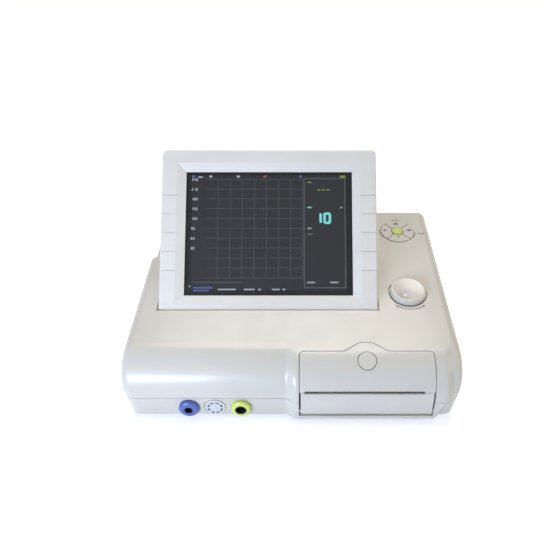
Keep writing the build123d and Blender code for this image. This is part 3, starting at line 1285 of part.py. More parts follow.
def gear_places():
    """Centres and phases of the platen's gear, the idler and the motor's pinion, all in mesh."""
    step_y, step_z = direction_to_idler()
    first = GEAR_MODULE * (PLATEN_TEETH + IDLER_TEETH) / 2 + GEAR_SPREAD
    second = GEAR_MODULE * (IDLER_TEETH + PINION_TEETH) / 2 + GEAR_SPREAD
    idler_y = PLATEN_Y + first * step_y
    idler_z = PLATEN_Z + first * step_z
    pinion_y, pinion_z = polar(idler_y, idler_z, second, MOTOR_CLIMB)
    heading = math.degrees(math.atan2(step_z, step_y))
    idler_phase = heading + HALF_TURN + HALF_TURN / IDLER_TEETH
    shift = (MOTOR_CLIMB - idler_phase) % (2 * HALF_TURN / IDLER_TEETH)
    pinion_phase = MOTOR_CLIMB + HALF_TURN + shift * IDLER_TEETH / PINION_TEETH + HALF_TURN / PINION_TEETH
    return {"platen": (PLATEN_Y, PLATEN_Z, heading), "idler": (idler_y, idler_z, idler_phase),
            "pinion": (pinion_y, pinion_z, pinion_phase)}


GEARS = gear_places()
GEAR_LEFT = CHEEK_RIGHT + CHEEK_THICK + GEAR_SIDE_GAP
GEAR_RIGHT = GEAR_LEFT + GEAR_WIDTH


def spur_gear(teeth, place, bore):
    """A spur gear along X with involute flanks."""
    y, z, phase = place
    pitch = GEAR_MODULE * teeth / 2
    base = pitch * math.cos(math.radians(PRESSURE_ANGLE))
    tip = pitch + GEAR_MODULE * TOOTH_TIP_SHARE
    root = pitch - GEAR_MODULE * TOOTH_ROOT_SHARE

    def half_angle(radius):
        turn = math.acos(min(1, base / max(radius, base)))
        flat = math.radians(PRESSURE_ANGLE)
        return (math.pi / 2 / teeth - GEAR_BACKLASH / 2 / pitch
                + (math.tan(flat) - flat) - (math.tan(turn) - turn))

    radii = [root, max(base, root), pitch, tip]
    points = []
    for index in range(teeth):
        middle = math.radians(phase) + index * 2 * math.pi / teeth
        rising = [(radius, middle - half_angle(radius)) for radius in radii]
        falling = [(radius, middle + half_angle(radius)) for radius in reversed(radii)]
        points = points + [(y + r * math.cos(a), z + r * math.sin(a)) for r, a in rising + falling]
    wheel = across(make_face(Polyline(*points, close=True)), GEAR_LEFT, GEAR_RIGHT)
    return wheel - rod(GEAR_LEFT - OVERRUN, GEAR_RIGHT + OVERRUN, y, z, bore)


def platen_roller():
    half = PAPER_WIDTH / 2
    roller = rod(PAPER_X - half, PAPER_X + half, PLATEN_Y, PLATEN_Z, PLATEN_RADIUS)
    return roller - rod(PAPER_X - half - OVERRUN, PAPER_X + half + OVERRUN, PLATEN_Y, PLATEN_Z,
                        PLATEN_SHAFT_RADIUS + SCREW_FIT / 2)


def platen_shaft():
    return rod(CHEEK_LEFT, GEAR_RIGHT, PLATEN_Y, PLATEN_Z, PLATEN_SHAFT_RADIUS)


def platen_bushes():
    """The two bushes in the door's cheeks that the platen turns in."""
    bushes = []
    bore = PLATEN_SHAFT_RADIUS + RUNNING_FIT
    for x in (CHEEK_LEFT, CHEEK_RIGHT):
        ring = rod(x, x + CHEEK_THICK, PLATEN_Y, PLATEN_Z, PLATEN_BUSH_RADIUS)
        bushes.append(ring - rod(x - OVERRUN, x + OVERRUN, PLATEN_Y, PLATEN_Z, bore))
    return group(bushes)


def platen_gear():
    return spur_gear(PLATEN_TEETH, GEARS["platen"], PLATEN_SHAFT_RADIUS + SCREW_FIT / 2)


def idler_gear():
    return spur_gear(IDLER_TEETH, GEARS["idler"], IDLER_AXLE_RADIUS + RUNNING_FIT)


def motor_pinion():
    return spur_gear(PINION_TEETH, GEARS["pinion"], MOTOR_SHAFT_RADIUS + SCREW_FIT / 2)


def idler_stub():
    """The stub that the idler turns on, riveted in the right side plate."""
    y, z, phase = GEARS["idler"]
    inner = GEAR_LEFT - GEAR_SIDE_GAP / 3
    stub = rod(inner, FRAME_RIGHT + FRAME_THICK, y, z, IDLER_AXLE_RADIUS)
    return stub + rod(inner - IDLER_CAP_THICK, inner, y, z, IDLER_CAP_RADIUS)


def stepper_motor():
    """The feed motor outside the right side plate; its shaft is part of the pinion's turning set."""
    y, z, phase = GEARS["pinion"]
    x0 = FRAME_RIGHT + FRAME_THICK
    can = rod(x0 + MOTOR_EAR_THICK, x0 + MOTOR_LENGTH, y, z, MOTOR_RADIUS)
    ears = box(x0, x0 + MOTOR_EAR_THICK + SNUG, y - MOTOR_EAR_WIDTH / 2, y + MOTOR_EAR_WIDTH / 2,
               z - MOTOR_EAR_SPAN / 2, z + MOTOR_EAR_SPAN / 2)
    face = rod(x0, x0 + MOTOR_EAR_THICK + SNUG, y, z, MOTOR_RADIUS)
    nose = rod(x0 - FRAME_THICK, x0 + SNUG, y, z, MOTOR_BOSS_RADIUS)
    body = joined([can, ears, face, nose])
    return body - rod(x0 - OVERRUN, x0 + MOTOR_LENGTH / 2 + SNUG, y, z, MOTOR_SHAFT_RADIUS + RUNNING_FIT)


def motor_shaft():
    y, z, phase = GEARS["pinion"]
    return rod(GEAR_LEFT, FRAME_RIGHT + FRAME_THICK + MOTOR_LENGTH / 2, y, z, MOTOR_SHAFT_RADIUS)


HEAD_FRONT = PLATEN_Y + PLATEN_RADIUS + HEAD_GAP
HEAD_BACK = HEAD_FRONT + HEAD_RIDGE + HEAD_THICK
HEAD_ROD_Y = HEAD_BACK + HEAD_EAR_RADIUS
HEAD_ROD_Z = PLATEN_Z + HEAD_RISE - HEAD_EAR_RADIUS
HEAD_LEFT = CHEEK_LEFT + CHEEK_THICK + HEAD_SIDE_GAP
HEAD_RIGHT = CHEEK_RIGHT - HEAD_SIDE_GAP


def print_head():
    """The thermal head: a plate with a raised heater line, hung on a rod behind its top edge."""
    low = PLATEN_Z - HEAD_DROP
    plate = box(HEAD_LEFT, HEAD_RIGHT, HEAD_FRONT + HEAD_RIDGE, HEAD_BACK, low, PLATEN_Z + HEAD_RISE)
    ridge = box(HEAD_LEFT, HEAD_RIGHT, HEAD_FRONT, HEAD_FRONT + HEAD_RIDGE + SNUG,
                PLATEN_Z - HEAD_RIDGE_HEIGHT / 2, PLATEN_Z + HEAD_RIDGE_HEIGHT / 2)
    ears = []
    for x in (HEAD_LEFT, HEAD_RIGHT - HEAD_EAR_WIDTH):
        ears.append(rod(x, x + HEAD_EAR_WIDTH, HEAD_ROD_Y, HEAD_ROD_Z, HEAD_EAR_RADIUS))
        ears.append(box(x, x + HEAD_EAR_WIDTH, HEAD_BACK - SNUG, HEAD_ROD_Y, HEAD_ROD_Z - HEAD_EAR_RADIUS,
                        HEAD_ROD_Z + HEAD_EAR_RADIUS))
    head = joined([plate, ridge] + ears)
    bore = HEAD_ROD_RADIUS + RUNNING_FIT
    return head - rod(HEAD_LEFT - OVERRUN, HEAD_RIGHT + OVERRUN, HEAD_ROD_Y, HEAD_ROD_Z, bore)


def frame_rods():
    """The steel between the frame's side plates: keeper bar, pivot rod of the head, and the idler's stub."""
    left = FRAME_LEFT - FRAME_THICK
    right = FRAME_RIGHT + FRAME_THICK
    keeper = rod(left, right, KEEPER_Y, KEEPER_Z, KEEPER_RADIUS)
    pivot = rod(left, right, HEAD_ROD_Y, HEAD_ROD_Z, HEAD_ROD_RADIUS)
    return group([keeper, pivot, idler_stub()])


def printer_frame():
    """The folded steel frame: two side plates, a cross plate behind, and feet on the floor."""
    front = PRINTER_FRONT_Y + FRAME_FRONT
    rear = PRINTER_FRONT_Y + FRAME_REAR
    left = FRAME_LEFT - FRAME_THICK
    right = FRAME_RIGHT + FRAME_THICK
    inside = across(side_profile(WALL + SNUG), left, right)
    foot = front + FRAME_FOOT
    sole = FLOOR_TOP + FRAME_THICK
    pieces = [box(left, FRAME_LEFT, front, rear, FLOOR_TOP, FRAME_TOP) & inside,
              box(FRAME_RIGHT, right, front, rear, FLOOR_TOP, FRAME_TOP) & inside,
              box(left, right, rear - FRAME_THICK, rear, CROSS_BOTTOM, CROSS_BOTTOM + FRAME_FOOT),
              box(left - FRAME_FOOT, FRAME_LEFT, foot, rear, FLOOR_TOP, sole),
              box(FRAME_RIGHT, right + FRAME_FOOT, foot, rear, FLOOR_TOP, sole)]
    frame = joined(pieces)
    rods = [(KEEPER_Y, KEEPER_Z, KEEPER_RADIUS), (HEAD_ROD_Y, HEAD_ROD_Z, HEAD_ROD_RADIUS)]
    for y, z, radius in rods:
        frame = frame - rod(left - OVERRUN, right + OVERRUN, y, z, radius + SCREW_FIT / 2)
    frame = frame - rod(FRAME_RIGHT - SNUG, right + OVERRUN, GEARS["idler"][0], GEARS["idler"][1],
                        IDLER_AXLE_RADIUS + SCREW_FIT / 2)
    return frame - rod(FRAME_RIGHT - SNUG, right + OVERRUN, GEARS["pinion"][0], GEARS["pinion"][1],
                       MOTOR_BOSS_RADIUS + SCREW_FIT / 2)


def paper_tray():
    """The open tray that holds the folded paper, loaded from the front."""
    half = PAPER_WIDTH / 2 + TRAY_SIDE_GAP
    front = PRINTER_FRONT_Y + TRAY_FRONT
    outer = box(PAPER_X - half - TRAY_WALL, PAPER_X + half + TRAY_WALL, front, front + TRAY_LENGTH,
                FLOOR_TOP, FLOOR_TOP + TRAY_HEIGHT)
    inner = box(PAPER_X - half, PAPER_X + half, front - OVERRUN, front + TRAY_LENGTH - TRAY_WALL,
                FLOOR_TOP + TRAY_WALL, FLOOR_TOP + TRAY_HEIGHT + OVERRUN)
    return outer - inner


def paper_pack():
    """The fan-folded chart paper."""
    half = PAPER_WIDTH / 2
    rear = PRINTER_FRONT_Y + TRAY_FRONT + TRAY_LENGTH - TRAY_WALL - PACK_GAP
    low = FLOOR_TOP + TRAY_WALL
    return box(PAPER_X - half, PAPER_X + half, rear - PACK_LENGTH, rear, low, low + PACK_HEIGHT)


# Sensor sockets

LINER_LENGTH = SOCKET_BORE_LENGTH + CONTACT_RISE + LINER_FLOOR
COLOURED_SOCKETS = [(-1, BLUE_PROUD, BLUE_HOLE), (1, YELLOW_PROUD, YELLOW_HOLE)]


def socket_shell(index, proud, hole):
    """A domed collar in front of the wall, with a tube that holds the black liner."""
    x = SOCKET_X + index * SOCKET_PITCH
    collar = forward_rod(x, SOCKET_HEIGHT, FRONT_Y - proud, FRONT_Y, SOCKET_RADIUS)
    collar = fillet(collar.edges().group_by(Axis.Y)[0], proud * COLLAR_ROUND_SHARE)
    tube = forward_rod(x, SOCKET_HEIGHT, FRONT_Y - SNUG, FRONT_Y + SOCKET_DEPTH, SOCKET_TUBE_RADIUS)
    end = FRONT_Y - proud + LINER_LENGTH
    return (collar + tube) - forward_rod(x, SOCKET_HEIGHT, FRONT_Y - OVERRUN, end, hole)


def socket_liners():
    """Black liners of the two coloured sockets: a bore for the plug, a narrower well for the contacts."""
    liners = []
    for index, proud, hole in COLOURED_SOCKETS:
        x = SOCKET_X + index * SOCKET_PITCH
        face = FRONT_Y - proud
        bore = hole - LINER_WALL
        liner = forward_rod(x, SOCKET_HEIGHT, face, face + LINER_LENGTH, hole - SOCKET_FIT / 2)
        liner = liner - forward_rod(x, SOCKET_HEIGHT, face - OVERRUN, face + SOCKET_BORE_LENGTH, bore)
        liners.append(liner - forward_rod(x, SOCKET_HEIGHT, face, face + SOCKET_BORE_LENGTH + CONTACT_RISE,
                                          bore * SOCKET_CORE_SHARE))
    return group(liners)


def socket_white():
    """The middle socket, with its contacts in a broken ring of slots."""
    x = SOCKET_X
    collar = forward_rod(x, SOCKET_HEIGHT, FRONT_Y - WHITE_PROUD, FRONT_Y, SOCKET_RADIUS)
    collar = fillet(collar.edges().group_by(Axis.Y)[0], WHITE_PROUD / 2)
    body = collar + forward_rod(x, SOCKET_HEIGHT, FRONT_Y - SNUG, FRONT_Y + SOCKET_DEPTH, SOCKET_TUBE_RADIUS)
    face = FRONT_Y - WHITE_PROUD
    ring = forward_rod(0, 0, face - OVERRUN, face + RING_DEPTH, RING_OUTER)
    ring = ring - forward_rod(0, 0, face - OVERRUN * 2, face + RING_DEPTH + OVERRUN, RING_INNER)
    width = math.pi * (RING_INNER + RING_OUTER) / RING_SLOTS * RING_SLOT_SHARE
    for index in range(RING_SLOTS):
        bar = box(0, RING_OUTER * 2, face - OVERRUN, face + OVERRUN, -width / 2, width / 2)
        turned = Rot(0, (index + 1 / 2) * 2 * HALF_TURN / RING_SLOTS, 0) * bar
        body = body - Pos(x, 0, SOCKET_HEIGHT) * (ring & turned)
    return body


def socket_nuts():
    """The ring nuts behind the wall."""
    nuts = []
    end = FRONT_Y + SOCKET_DEPTH
    for index in (-1, 0, 1):
        x = SOCKET_X + index * SOCKET_PITCH
        nut = hexagon(x, FRONT_Y + WALL + NUT_GAP, SOCKET_HEIGHT, NUT_RADIUS, NUT_THICK)
        nut = nut & box(x - NUT_RADIUS * 2, x + NUT_RADIUS * 2, FRONT_Y, end, FLOOR_TOP + SNUG, DECK_HEIGHT)
        nuts.append(nut - forward_rod(x, SOCKET_HEIGHT, FRONT_Y, end, SOCKET_TUBE_RADIUS + SOCKET_FIT / 2))
    return group(nuts)


def socket_contacts():
    """Brass contacts at the bottom of the blue and yellow sockets."""
    pins = []
    for index, proud, hole in COLOURED_SOCKETS:
        x = SOCKET_X + index * SOCKET_PITCH
        floor = FRONT_Y - proud + SOCKET_BORE_LENGTH + CONTACT_RISE
        for number in range(CONTACT_COUNT):
            turn = 2 * math.pi * (number + 1 / 2) / CONTACT_COUNT
            out = (hole - LINER_WALL) * CONTACT_CIRCLE_SHARE
            pins.append(forward_rod(x + out * math.cos(turn), SOCKET_HEIGHT + out * math.sin(turn),
                                    floor - CONTACT_RISE + SNUG, floor, CONTACT_RADIUS))
    return group(pins)


# Rear terminal tray

def rear_panel():
    """The sunk steel tray that carries the mains inlet, switch, earth post and data port."""
    outer = box(TERMINAL_LEFT, TERMINAL_RIGHT, PLATE_Y, REAR_Y, TERMINAL_BOTTOM, TERMINAL_TOP)
    wall = TERMINAL_WALL
    inner = box(TERMINAL_LEFT + wall, TERMINAL_RIGHT - wall, PLATE_Y + wall, REAR_Y + OVERRUN,
                TERMINAL_BOTTOM + wall, TERMINAL_TOP - wall)
    tray = outer - inner
    cuts = [(INLET_OFFSET, INLET_BODY_WIDTH, INLET_BODY_HEIGHT),
            (SWITCH_OFFSET, SWITCH_FRAME_WIDTH - SWITCH_RIM, SWITCH_FRAME_HEIGHT - SWITCH_RIM),
            (SERIAL_OFFSET, SERIAL_SHELL_WIDTH + SERIAL_SHELL_TAPER * 2, SERIAL_SHELL_HEIGHT)]
    for offset, width, height in cuts:
        tray = tray - box(TERMINAL_X + offset - width / 2 - SNUG, TERMINAL_X + offset + width / 2 + SNUG,
                          PLATE_Y - OVERRUN, PLATE_Y + OVERRUN, TERMINAL_MIDDLE - height / 2 - SNUG,
                          TERMINAL_MIDDLE + height / 2 + SNUG)
    hole = EARTH_RADIUS + SCREW_FIT
    x = TERMINAL_X + EARTH_OFFSET
    return tray - forward_rod(x, TERMINAL_MIDDLE, PLATE_Y - OVERRUN, PLATE_Y + OVERRUN, hole)


def plate_block(offset, width, height, y0, y1):
    """A block centred on the terminal tray's middle line."""
    x = TERMINAL_X + offset
    half = height / 2
    return box(x - width / 2, x + width / 2, y0, y1, TERMINAL_MIDDLE - half, TERMINAL_MIDDLE + half)


PLATE_FACE = PLATE_Y + TERMINAL_WALL


def mains_inlet():
    """The appliance inlet, with its deep cavity open to the rear."""
    mouth = PLATE_FACE + INLET_FLANGE_THICK
    flange = plate_block(INLET_OFFSET, INLET_FLANGE_WIDTH, INLET_FLANGE_HEIGHT, PLATE_FACE, mouth)
    body = plate_block(INLET_OFFSET, INLET_BODY_WIDTH, INLET_BODY_HEIGHT, PLATE_FACE - INLET_BODY_DEPTH,
                       PLATE_FACE + SNUG)
    cavity = plate_block(INLET_OFFSET, INLET_CAVITY_WIDTH, INLET_CAVITY_HEIGHT, mouth - INLET_CAVITY_DEPTH,
                         mouth + OVERRUN)
    inlet = (flange + body) - cavity
    for x, z in blade_places():
        inlet = inlet - blade(x, z, BLADE_FIT)
    return inlet


def blade_places():
    """X and Z of the three blades: two live ones and the earth between them."""
    x = TERMINAL_X + INLET_OFFSET
    low = TERMINAL_MIDDLE - BLADE_OFFSET
    return [(x - BLADE_SPREAD, low), (x + BLADE_SPREAD, low), (x, TERMINAL_MIDDLE + BLADE_OFFSET)]


def blade(x, z, grow):
    floor = PLATE_FACE + INLET_FLANGE_THICK - INLET_CAVITY_DEPTH
    wide = BLADE_WIDTH / 2 + grow
    tall = BLADE_HEIGHT / 2 + grow
    return box(x - wide, x + wide, floor - BLADE_TAIL, floor + BLADE_LENGTH, z - tall, z + tall)


def inlet_blades():
    return group([blade(x, z, 0) for x, z in blade_places()])


def power_switch():
    """The frame that the rocker sits in."""
    rim = SWITCH_RIM
    width = SWITCH_FRAME_WIDTH
    height = SWITCH_FRAME_HEIGHT
    frame = plate_block(SWITCH_OFFSET, width, height, PLATE_FACE, PLATE_FACE + SWITCH_FRAME_THICK)
    body = plate_block(SWITCH_OFFSET, width - rim, height - rim, PLATE_FACE - SWITCH_BODY_DEPTH,
                       PLATE_FACE + SNUG)
    well = plate_block(SWITCH_OFFSET, width - rim * 2, height - rim * 2, PLATE_FACE - ROCKER_THICK * 3 / 2,
                       PLATE_FACE + OVERRUN)
    x = TERMINAL_X + SWITCH_OFFSET
    reach = (width - rim) / 2
    axle = rod(x - reach, x + reach, PLATE_FACE, TERMINAL_MIDDLE, SCREW_RADIUS)
    return ((frame + body) - well) + axle


def power_rocker():
    """The rocker: a block with a shallow V across its face, tipped to its off side."""
    rim = SWITCH_RIM
    width = SWITCH_FRAME_WIDTH - rim * 2 - ROCKER_GAP
    height = SWITCH_FRAME_HEIGHT - rim * 2 - ROCKER_GAP * 2
    half = height / 2
    lift = half * math.tan(math.radians(ROCKER_TILT))
    outline = make_face(Polyline((-ROCKER_THICK / 2, -half), (ROCKER_PROUD + lift, -half), (ROCKER_PROUD, 0),
                                 (ROCKER_PROUD + lift, half), (-ROCKER_THICK / 2, half), close=True))
    rocker = across(outline, -width / 2, width / 2)
    rocker = rocker - rod(-width, width, 0, 0, SCREW_RADIUS + RUNNING_FIT)
    return Pos(TERMINAL_X + SWITCH_OFFSET, PLATE_FACE, TERMINAL_MIDDLE) * Rot(-ROCKER_TILT, 0, 0) * rocker


def earth_post():
    """The equal-potential earth post: a stud with two nuts."""
    x = TERMINAL_X + EARTH_OFFSET
    half = EARTH_LENGTH / 2
    pieces = [forward_rod(x, TERMINAL_MIDDLE, PLATE_Y - half, PLATE_Y + half, EARTH_RADIUS)]
    for y in (PLATE_FACE, PLATE_Y - EARTH_NUT_THICK):
        pieces.append(hexagon(x, y, TERMINAL_MIDDLE, EARTH_NUT_RADIUS, EARTH_NUT_THICK))
    return joined(pieces)


def serial_port():
    """The nine-way data port: flange, tapered shell and two hexagon nuts."""
    x = TERMINAL_X + SERIAL_OFFSET
    z = TERMINAL_MIDDLE
    flange = plate_block(SERIAL_OFFSET, SERIAL_FLANGE_WIDTH, SERIAL_FLANGE_HEIGHT, PLATE_FACE,
                         PLATE_FACE + SERIAL_FLANGE_THICK)
    half = SERIAL_SHELL_WIDTH / 2
    tall = SERIAL_SHELL_HEIGHT / 2
    taper = SERIAL_SHELL_TAPER
    outline = make_face(Polyline((x - half - taper, z + tall), (x + half + taper, z + tall),
                                 (x + half, z - tall), (x - half, z - tall), close=True))
    face = PLATE_FACE + SERIAL_SHELL_PROUD
    shell = extrude(Plane((0, face, 0), x_dir=(1, 0, 0), z_dir=(0, -1, 0)) * outline,
                    SERIAL_SHELL_PROUD + SERIAL_BODY_DEPTH)
    port = flange + shell
    for row, count in ((1, SERIAL_UPPER_HOLES), (-1, SERIAL_LOWER_HOLES)):
        hole_z = z + row * SERIAL_HOLE_PITCH / 2
        for index in range(count):
            hole_x = x + (index - (count - 1) / 2) * SERIAL_HOLE_PITCH
            port = port - forward_rod(hole_x, hole_z, face - SERIAL_HOLE_DEPTH, face + OVERRUN,
                                      SERIAL_HOLE_RADIUS)
    for sx in (-1, 1):
        port = port + hexagon(x + sx * SERIAL_NUT_SPAN, PLATE_FACE, z, SERIAL_NUT_RADIUS, SERIAL_NUT_LENGTH)
    return port


# Boards, supply and speaker

def main_board():
    """The main board on its floor posts, with its larger chips and a row of plugs."""
    low = FLOOR_TOP + FLOOR_POST_HEIGHT
    half_w = MAIN_BOARD_WIDTH / 2
    half_d = MAIN_BOARD_DEPTH / 2
    board = box(MAIN_BOARD_X - half_w, MAIN_BOARD_X + half_w, MAIN_BOARD_Y - half_d, MAIN_BOARD_Y + half_d,
                low, low + BOARD_THICK)
    pieces = [board]
    x = MAIN_BOARD_X - half_w + POST_INSET * 2
    plug = CHIP_SHARES[-1] * MAIN_BOARD_WIDTH
    edge = MAIN_BOARD_Y + half_d
    for share in CHIP_SHARES:
        size = share * MAIN_BOARD_WIDTH
        pieces.append(box(x, x + size, MAIN_BOARD_Y - size / 2, MAIN_BOARD_Y + size / 2,
                          low + BOARD_THICK - SNUG, low + BOARD_THICK + CHIP_HEIGHT))
        pieces.append(box(x, x + plug, edge - POST_INSET, edge - POST_INSET / 3,
                          low + BOARD_THICK - SNUG, low + BOARD_THICK + CHIP_HEIGHT * 3))
        x = x + size + POST_INSET
    board = joined(pieces)
    for px, py in board_places(MAIN_BOARD_X, MAIN_BOARD_Y, MAIN_BOARD_WIDTH, MAIN_BOARD_DEPTH):
        board = board - post(px, py, 0, low + OVERRUN, SCREW_RADIUS + SCREW_FIT)
    return board


def power_supply():
    """The closed supply behind the terminal tray, with ribs on its lid."""
    x = TERMINAL_X
    half_w = SUPPLY_WIDTH / 2
    half_d = SUPPLY_DEPTH / 2
    top = FLOOR_TOP + SUPPLY_HEIGHT
    reach = half_d - POST_INSET
    case = box(x - half_w, x + half_w, SUPPLY_Y - half_d, SUPPLY_Y + half_d, FLOOR_TOP, top)
    case = chamfer(case.edges().group_by(Axis.Z)[-1], WALL / 2)
    ribs = int(SUPPLY_WIDTH // (VENT_PITCH * 2))
    for index in range(ribs):
        rib = x + (index - (ribs - 1) / 2) * VENT_PITCH * 2
        case = case - box(rib - VENT_SLOT / 2, rib + VENT_SLOT / 2, SUPPLY_Y - reach, SUPPLY_Y + reach,
                          top - WALL / 2, top + OVERRUN)
    return case


def speaker():
    """The loudspeaker, face down on the floor's grille."""
    rim = post(SPEAKER_X, SPEAKER_Y, FLOOR_TOP, FLOOR_TOP + SPEAKER_RIM, SPEAKER_RADIUS)
    cone = Pos(SPEAKER_X, SPEAKER_Y, FLOOR_TOP + SPEAKER_RIM) * Cone(
        SPEAKER_CONE_RADIUS, MAGNET_RADIUS, SPEAKER_DEPTH, align=(Align.CENTER, Align.CENTER, Align.MIN))
    top = FLOOR_TOP + SPEAKER_RIM + SPEAKER_DEPTH
    magnet = post(SPEAKER_X, SPEAKER_Y, top - SNUG, top + MAGNET_HEIGHT, MAGNET_RADIUS)
    return joined([rim, cone, magnet])


# Every piece by its name

PARTS = {
    "base_shell": base_shell, "upper_shell": upper_shell, "rubber_feet": rubber_feet,
    "base_screws": base_screws, "hinge_pins": hinge_pins, "hinge_bushes": hinge_bushes,
    "screen_bezel": screen_bezel, "screen_back_cover": screen_back_cover,
    "screen_screws": screen_screws, "lcd_window": lcd_window, "lcd_panel": lcd_panel,
    "display_board": display_board, "control_knob": control_knob, "encoder_shaft": encoder_shaft,
    "encoder_sleeve": encoder_sleeve, "encoder_body": encoder_body, "encoder_board": encoder_board,
    "key_start": key_start, "key_mat": key_mat, "keypad_board": keypad_board, "door_cover": door_cover,
    "door_front_panel": door_front_panel, "door_frame": door_frame, "door_button": door_button,
    "door_latch": door_latch, "latch_pin": latch_pin, "tear_bar": tear_bar,
    "platen_roller": platen_roller, "platen_shaft": platen_shaft, "platen_bushes": platen_bushes,
    "platen_gear": platen_gear, "idler_gear": idler_gear, "motor_pinion": motor_pinion,
    "motor_shaft": motor_shaft, "stepper_motor": stepper_motor, "print_head": print_head,
    "frame_rods": frame_rods, "printer_frame": printer_frame, "paper_tray": paper_tray,
    "paper_pack": paper_pack, "socket_white": socket_white, "socket_nuts": socket_nuts,
    "socket_contacts": socket_contacts, "socket_liners": socket_liners, "rear_panel": rear_panel,
    "mains_inlet": mains_inlet, "inlet_blades": inlet_blades, "power_switch": power_switch,
    "power_rocker": power_rocker, "earth_post": earth_post, "serial_port": serial_port,
    "main_board": main_board, "power_supply": power_supply, "speaker": speaker,
}


def write_parts():
    """Builds every piece and writes it to its own file."""
    os.makedirs("parts", exist_ok=True)
    pieces = {name: make() for name, make in PARTS.items()}
    pieces["socket_blue"] = socket_shell(*COLOURED_SOCKETS[0])
    pieces["socket_yellow"] = socket_shell(*COLOURED_SOCKETS[1])
    for index, name in enumerate(KEY_NAMES):
        pieces["key_" + name] = ring_key(index)
    for name, shape in pieces.items():
        export_step(shape, os.path.join("parts", name + ".step"))
        print(name, len(shape.solids()), round(shape.volume))


write_parts()
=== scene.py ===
# %% [markdown]
# # A bench-top fetal heart monitor, dressed on its measured frame
# Every rigid piece was modelled to size beforehand, with its joints. This lesson loads those solids,
# gives each surface its finish, and adds the thin things that a solid model leaves out: the picture on
# the display, the printed marks and the plates in the middle socket. Loading the solids first means
# that the thin things can take their places from them.

# %% Load the frame
import json
import math

import bmesh
import bpy
from mathutils import Matrix, Vector


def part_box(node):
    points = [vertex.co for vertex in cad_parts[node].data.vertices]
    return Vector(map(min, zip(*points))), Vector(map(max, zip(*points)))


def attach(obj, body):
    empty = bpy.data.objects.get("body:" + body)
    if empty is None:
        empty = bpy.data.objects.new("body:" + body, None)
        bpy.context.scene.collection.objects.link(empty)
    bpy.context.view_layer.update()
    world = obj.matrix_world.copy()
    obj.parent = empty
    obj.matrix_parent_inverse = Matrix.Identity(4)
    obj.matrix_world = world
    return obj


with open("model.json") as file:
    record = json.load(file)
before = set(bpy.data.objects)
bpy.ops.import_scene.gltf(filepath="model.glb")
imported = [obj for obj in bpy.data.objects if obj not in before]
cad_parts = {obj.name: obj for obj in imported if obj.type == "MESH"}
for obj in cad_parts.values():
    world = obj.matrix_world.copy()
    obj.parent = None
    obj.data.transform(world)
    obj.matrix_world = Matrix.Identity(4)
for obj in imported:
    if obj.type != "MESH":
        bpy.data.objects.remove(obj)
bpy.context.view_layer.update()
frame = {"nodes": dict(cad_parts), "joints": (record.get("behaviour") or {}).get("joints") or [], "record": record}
nodes = frame["nodes"]
MM = 0.001

# %% [markdown]
# ## The camera
# The photograph was taken from a little above, and slightly to the right of the machine's middle. The
# place and the focal length came from a fit of the housing's corners. A shift of the picture frame
# keeps the camera level with the machine while the machine stands left of the middle, which a turn of
# the camera would have skewed.

# %% Camera
IMAGE_WIDTH = 545
SENSOR_WIDTH = 36.0
NEAREST = 0.01
FOCAL_PIXELS = 543.91
CENTRE_PIXEL = 301.79
CAMERA_PLACE = Vector((9.07, -468.20, 406.03)) * MM
CAMERA_PITCH = 34.34

camera_data = bpy.data.cameras.new("photo_camera")
camera_data.sensor_fit = "HORIZONTAL"
camera_data.sensor_width = SENSOR_WIDTH
camera_data.lens = SENSOR_WIDTH * FOCAL_PIXELS / IMAGE_WIDTH
camera_data.shift_x = (IMAGE_WIDTH / 2 - CENTRE_PIXEL) / IMAGE_WIDTH
camera_data.clip_start = NEAREST
camera = bpy.data.objects.new("photo_camera", camera_data)
camera.location = CAMERA_PLACE
camera.rotation_euler = (math.radians(90 - CAMERA_PITCH), 0, 0)
bpy.context.scene.collection.objects.link(camera)
bpy.context.scene.camera = camera
bpy.context.scene.view_settings.view_transform = "Standard"
print("lens", round(camera_data.lens, 2), "shift", round(camera_data.shift_x, 4))

# %% [markdown]
# ## Helpers for finishes
# A moulded plastic is never one flat colour: it has a fine grain that breaks up highlights, and broad,
# faint changes of tone from the mould. Both come from noise that is fixed to the piece, so a finish
# works on any shape without an unwrapped surface. The bevel node rounds hard edges by a hair in the
# shading, as a mould does.

# %% Noise and colour helpers
NOISE_DETAIL = 3.0
NOISE_LOW = 0.3
NOISE_HIGH = 0.7
materials = {}


def new_material(name):
    """An empty node material with its output and a Principled shader."""
    material = bpy.data.materials.new(name)
    material.use_nodes = True
    tree = material.node_tree
    tree.nodes.clear()
    output = tree.nodes.new("ShaderNodeOutputMaterial")
    shader = tree.nodes.new("ShaderNodeBsdfPrincipled")
    tree.links.new(shader.outputs["BSDF"], output.inputs["Surface"])
    materials[name] = material
    return tree, shader


def noise(tree, scale, detail=NOISE_DETAIL, stretch=(1, 1, 1)):
    """Noise fixed to the piece, with scale in features per metre."""
    place = tree.nodes.new("ShaderNodeTexCoord")
    mapping = tree.nodes.new("ShaderNodeMapping")
    mapping.inputs["Scale"].default_value = stretch
    texture = tree.nodes.new("ShaderNodeTexNoise")
    texture.inputs["Scale"].default_value = scale
    texture.inputs["Detail"].default_value = detail
    tree.links.new(place.outputs["Object"], mapping.inputs["Vector"])
    tree.links.new(mapping.outputs["Vector"], texture.inputs["Vector"])
    return texture.outputs["Fac"]


def between(tree, factor, low, high):
    """Maps noise to a range of values."""
    span = tree.nodes.new("ShaderNodeMapRange")
    span.inputs["From Min"].default_value = NOISE_LOW
    span.inputs["From Max"].default_value = NOISE_HIGH
    span.inputs["To Min"].default_value = low
    span.inputs["To Max"].default_value = high
    tree.links.new(factor, span.inputs["Value"])
    return span.outputs["Result"]


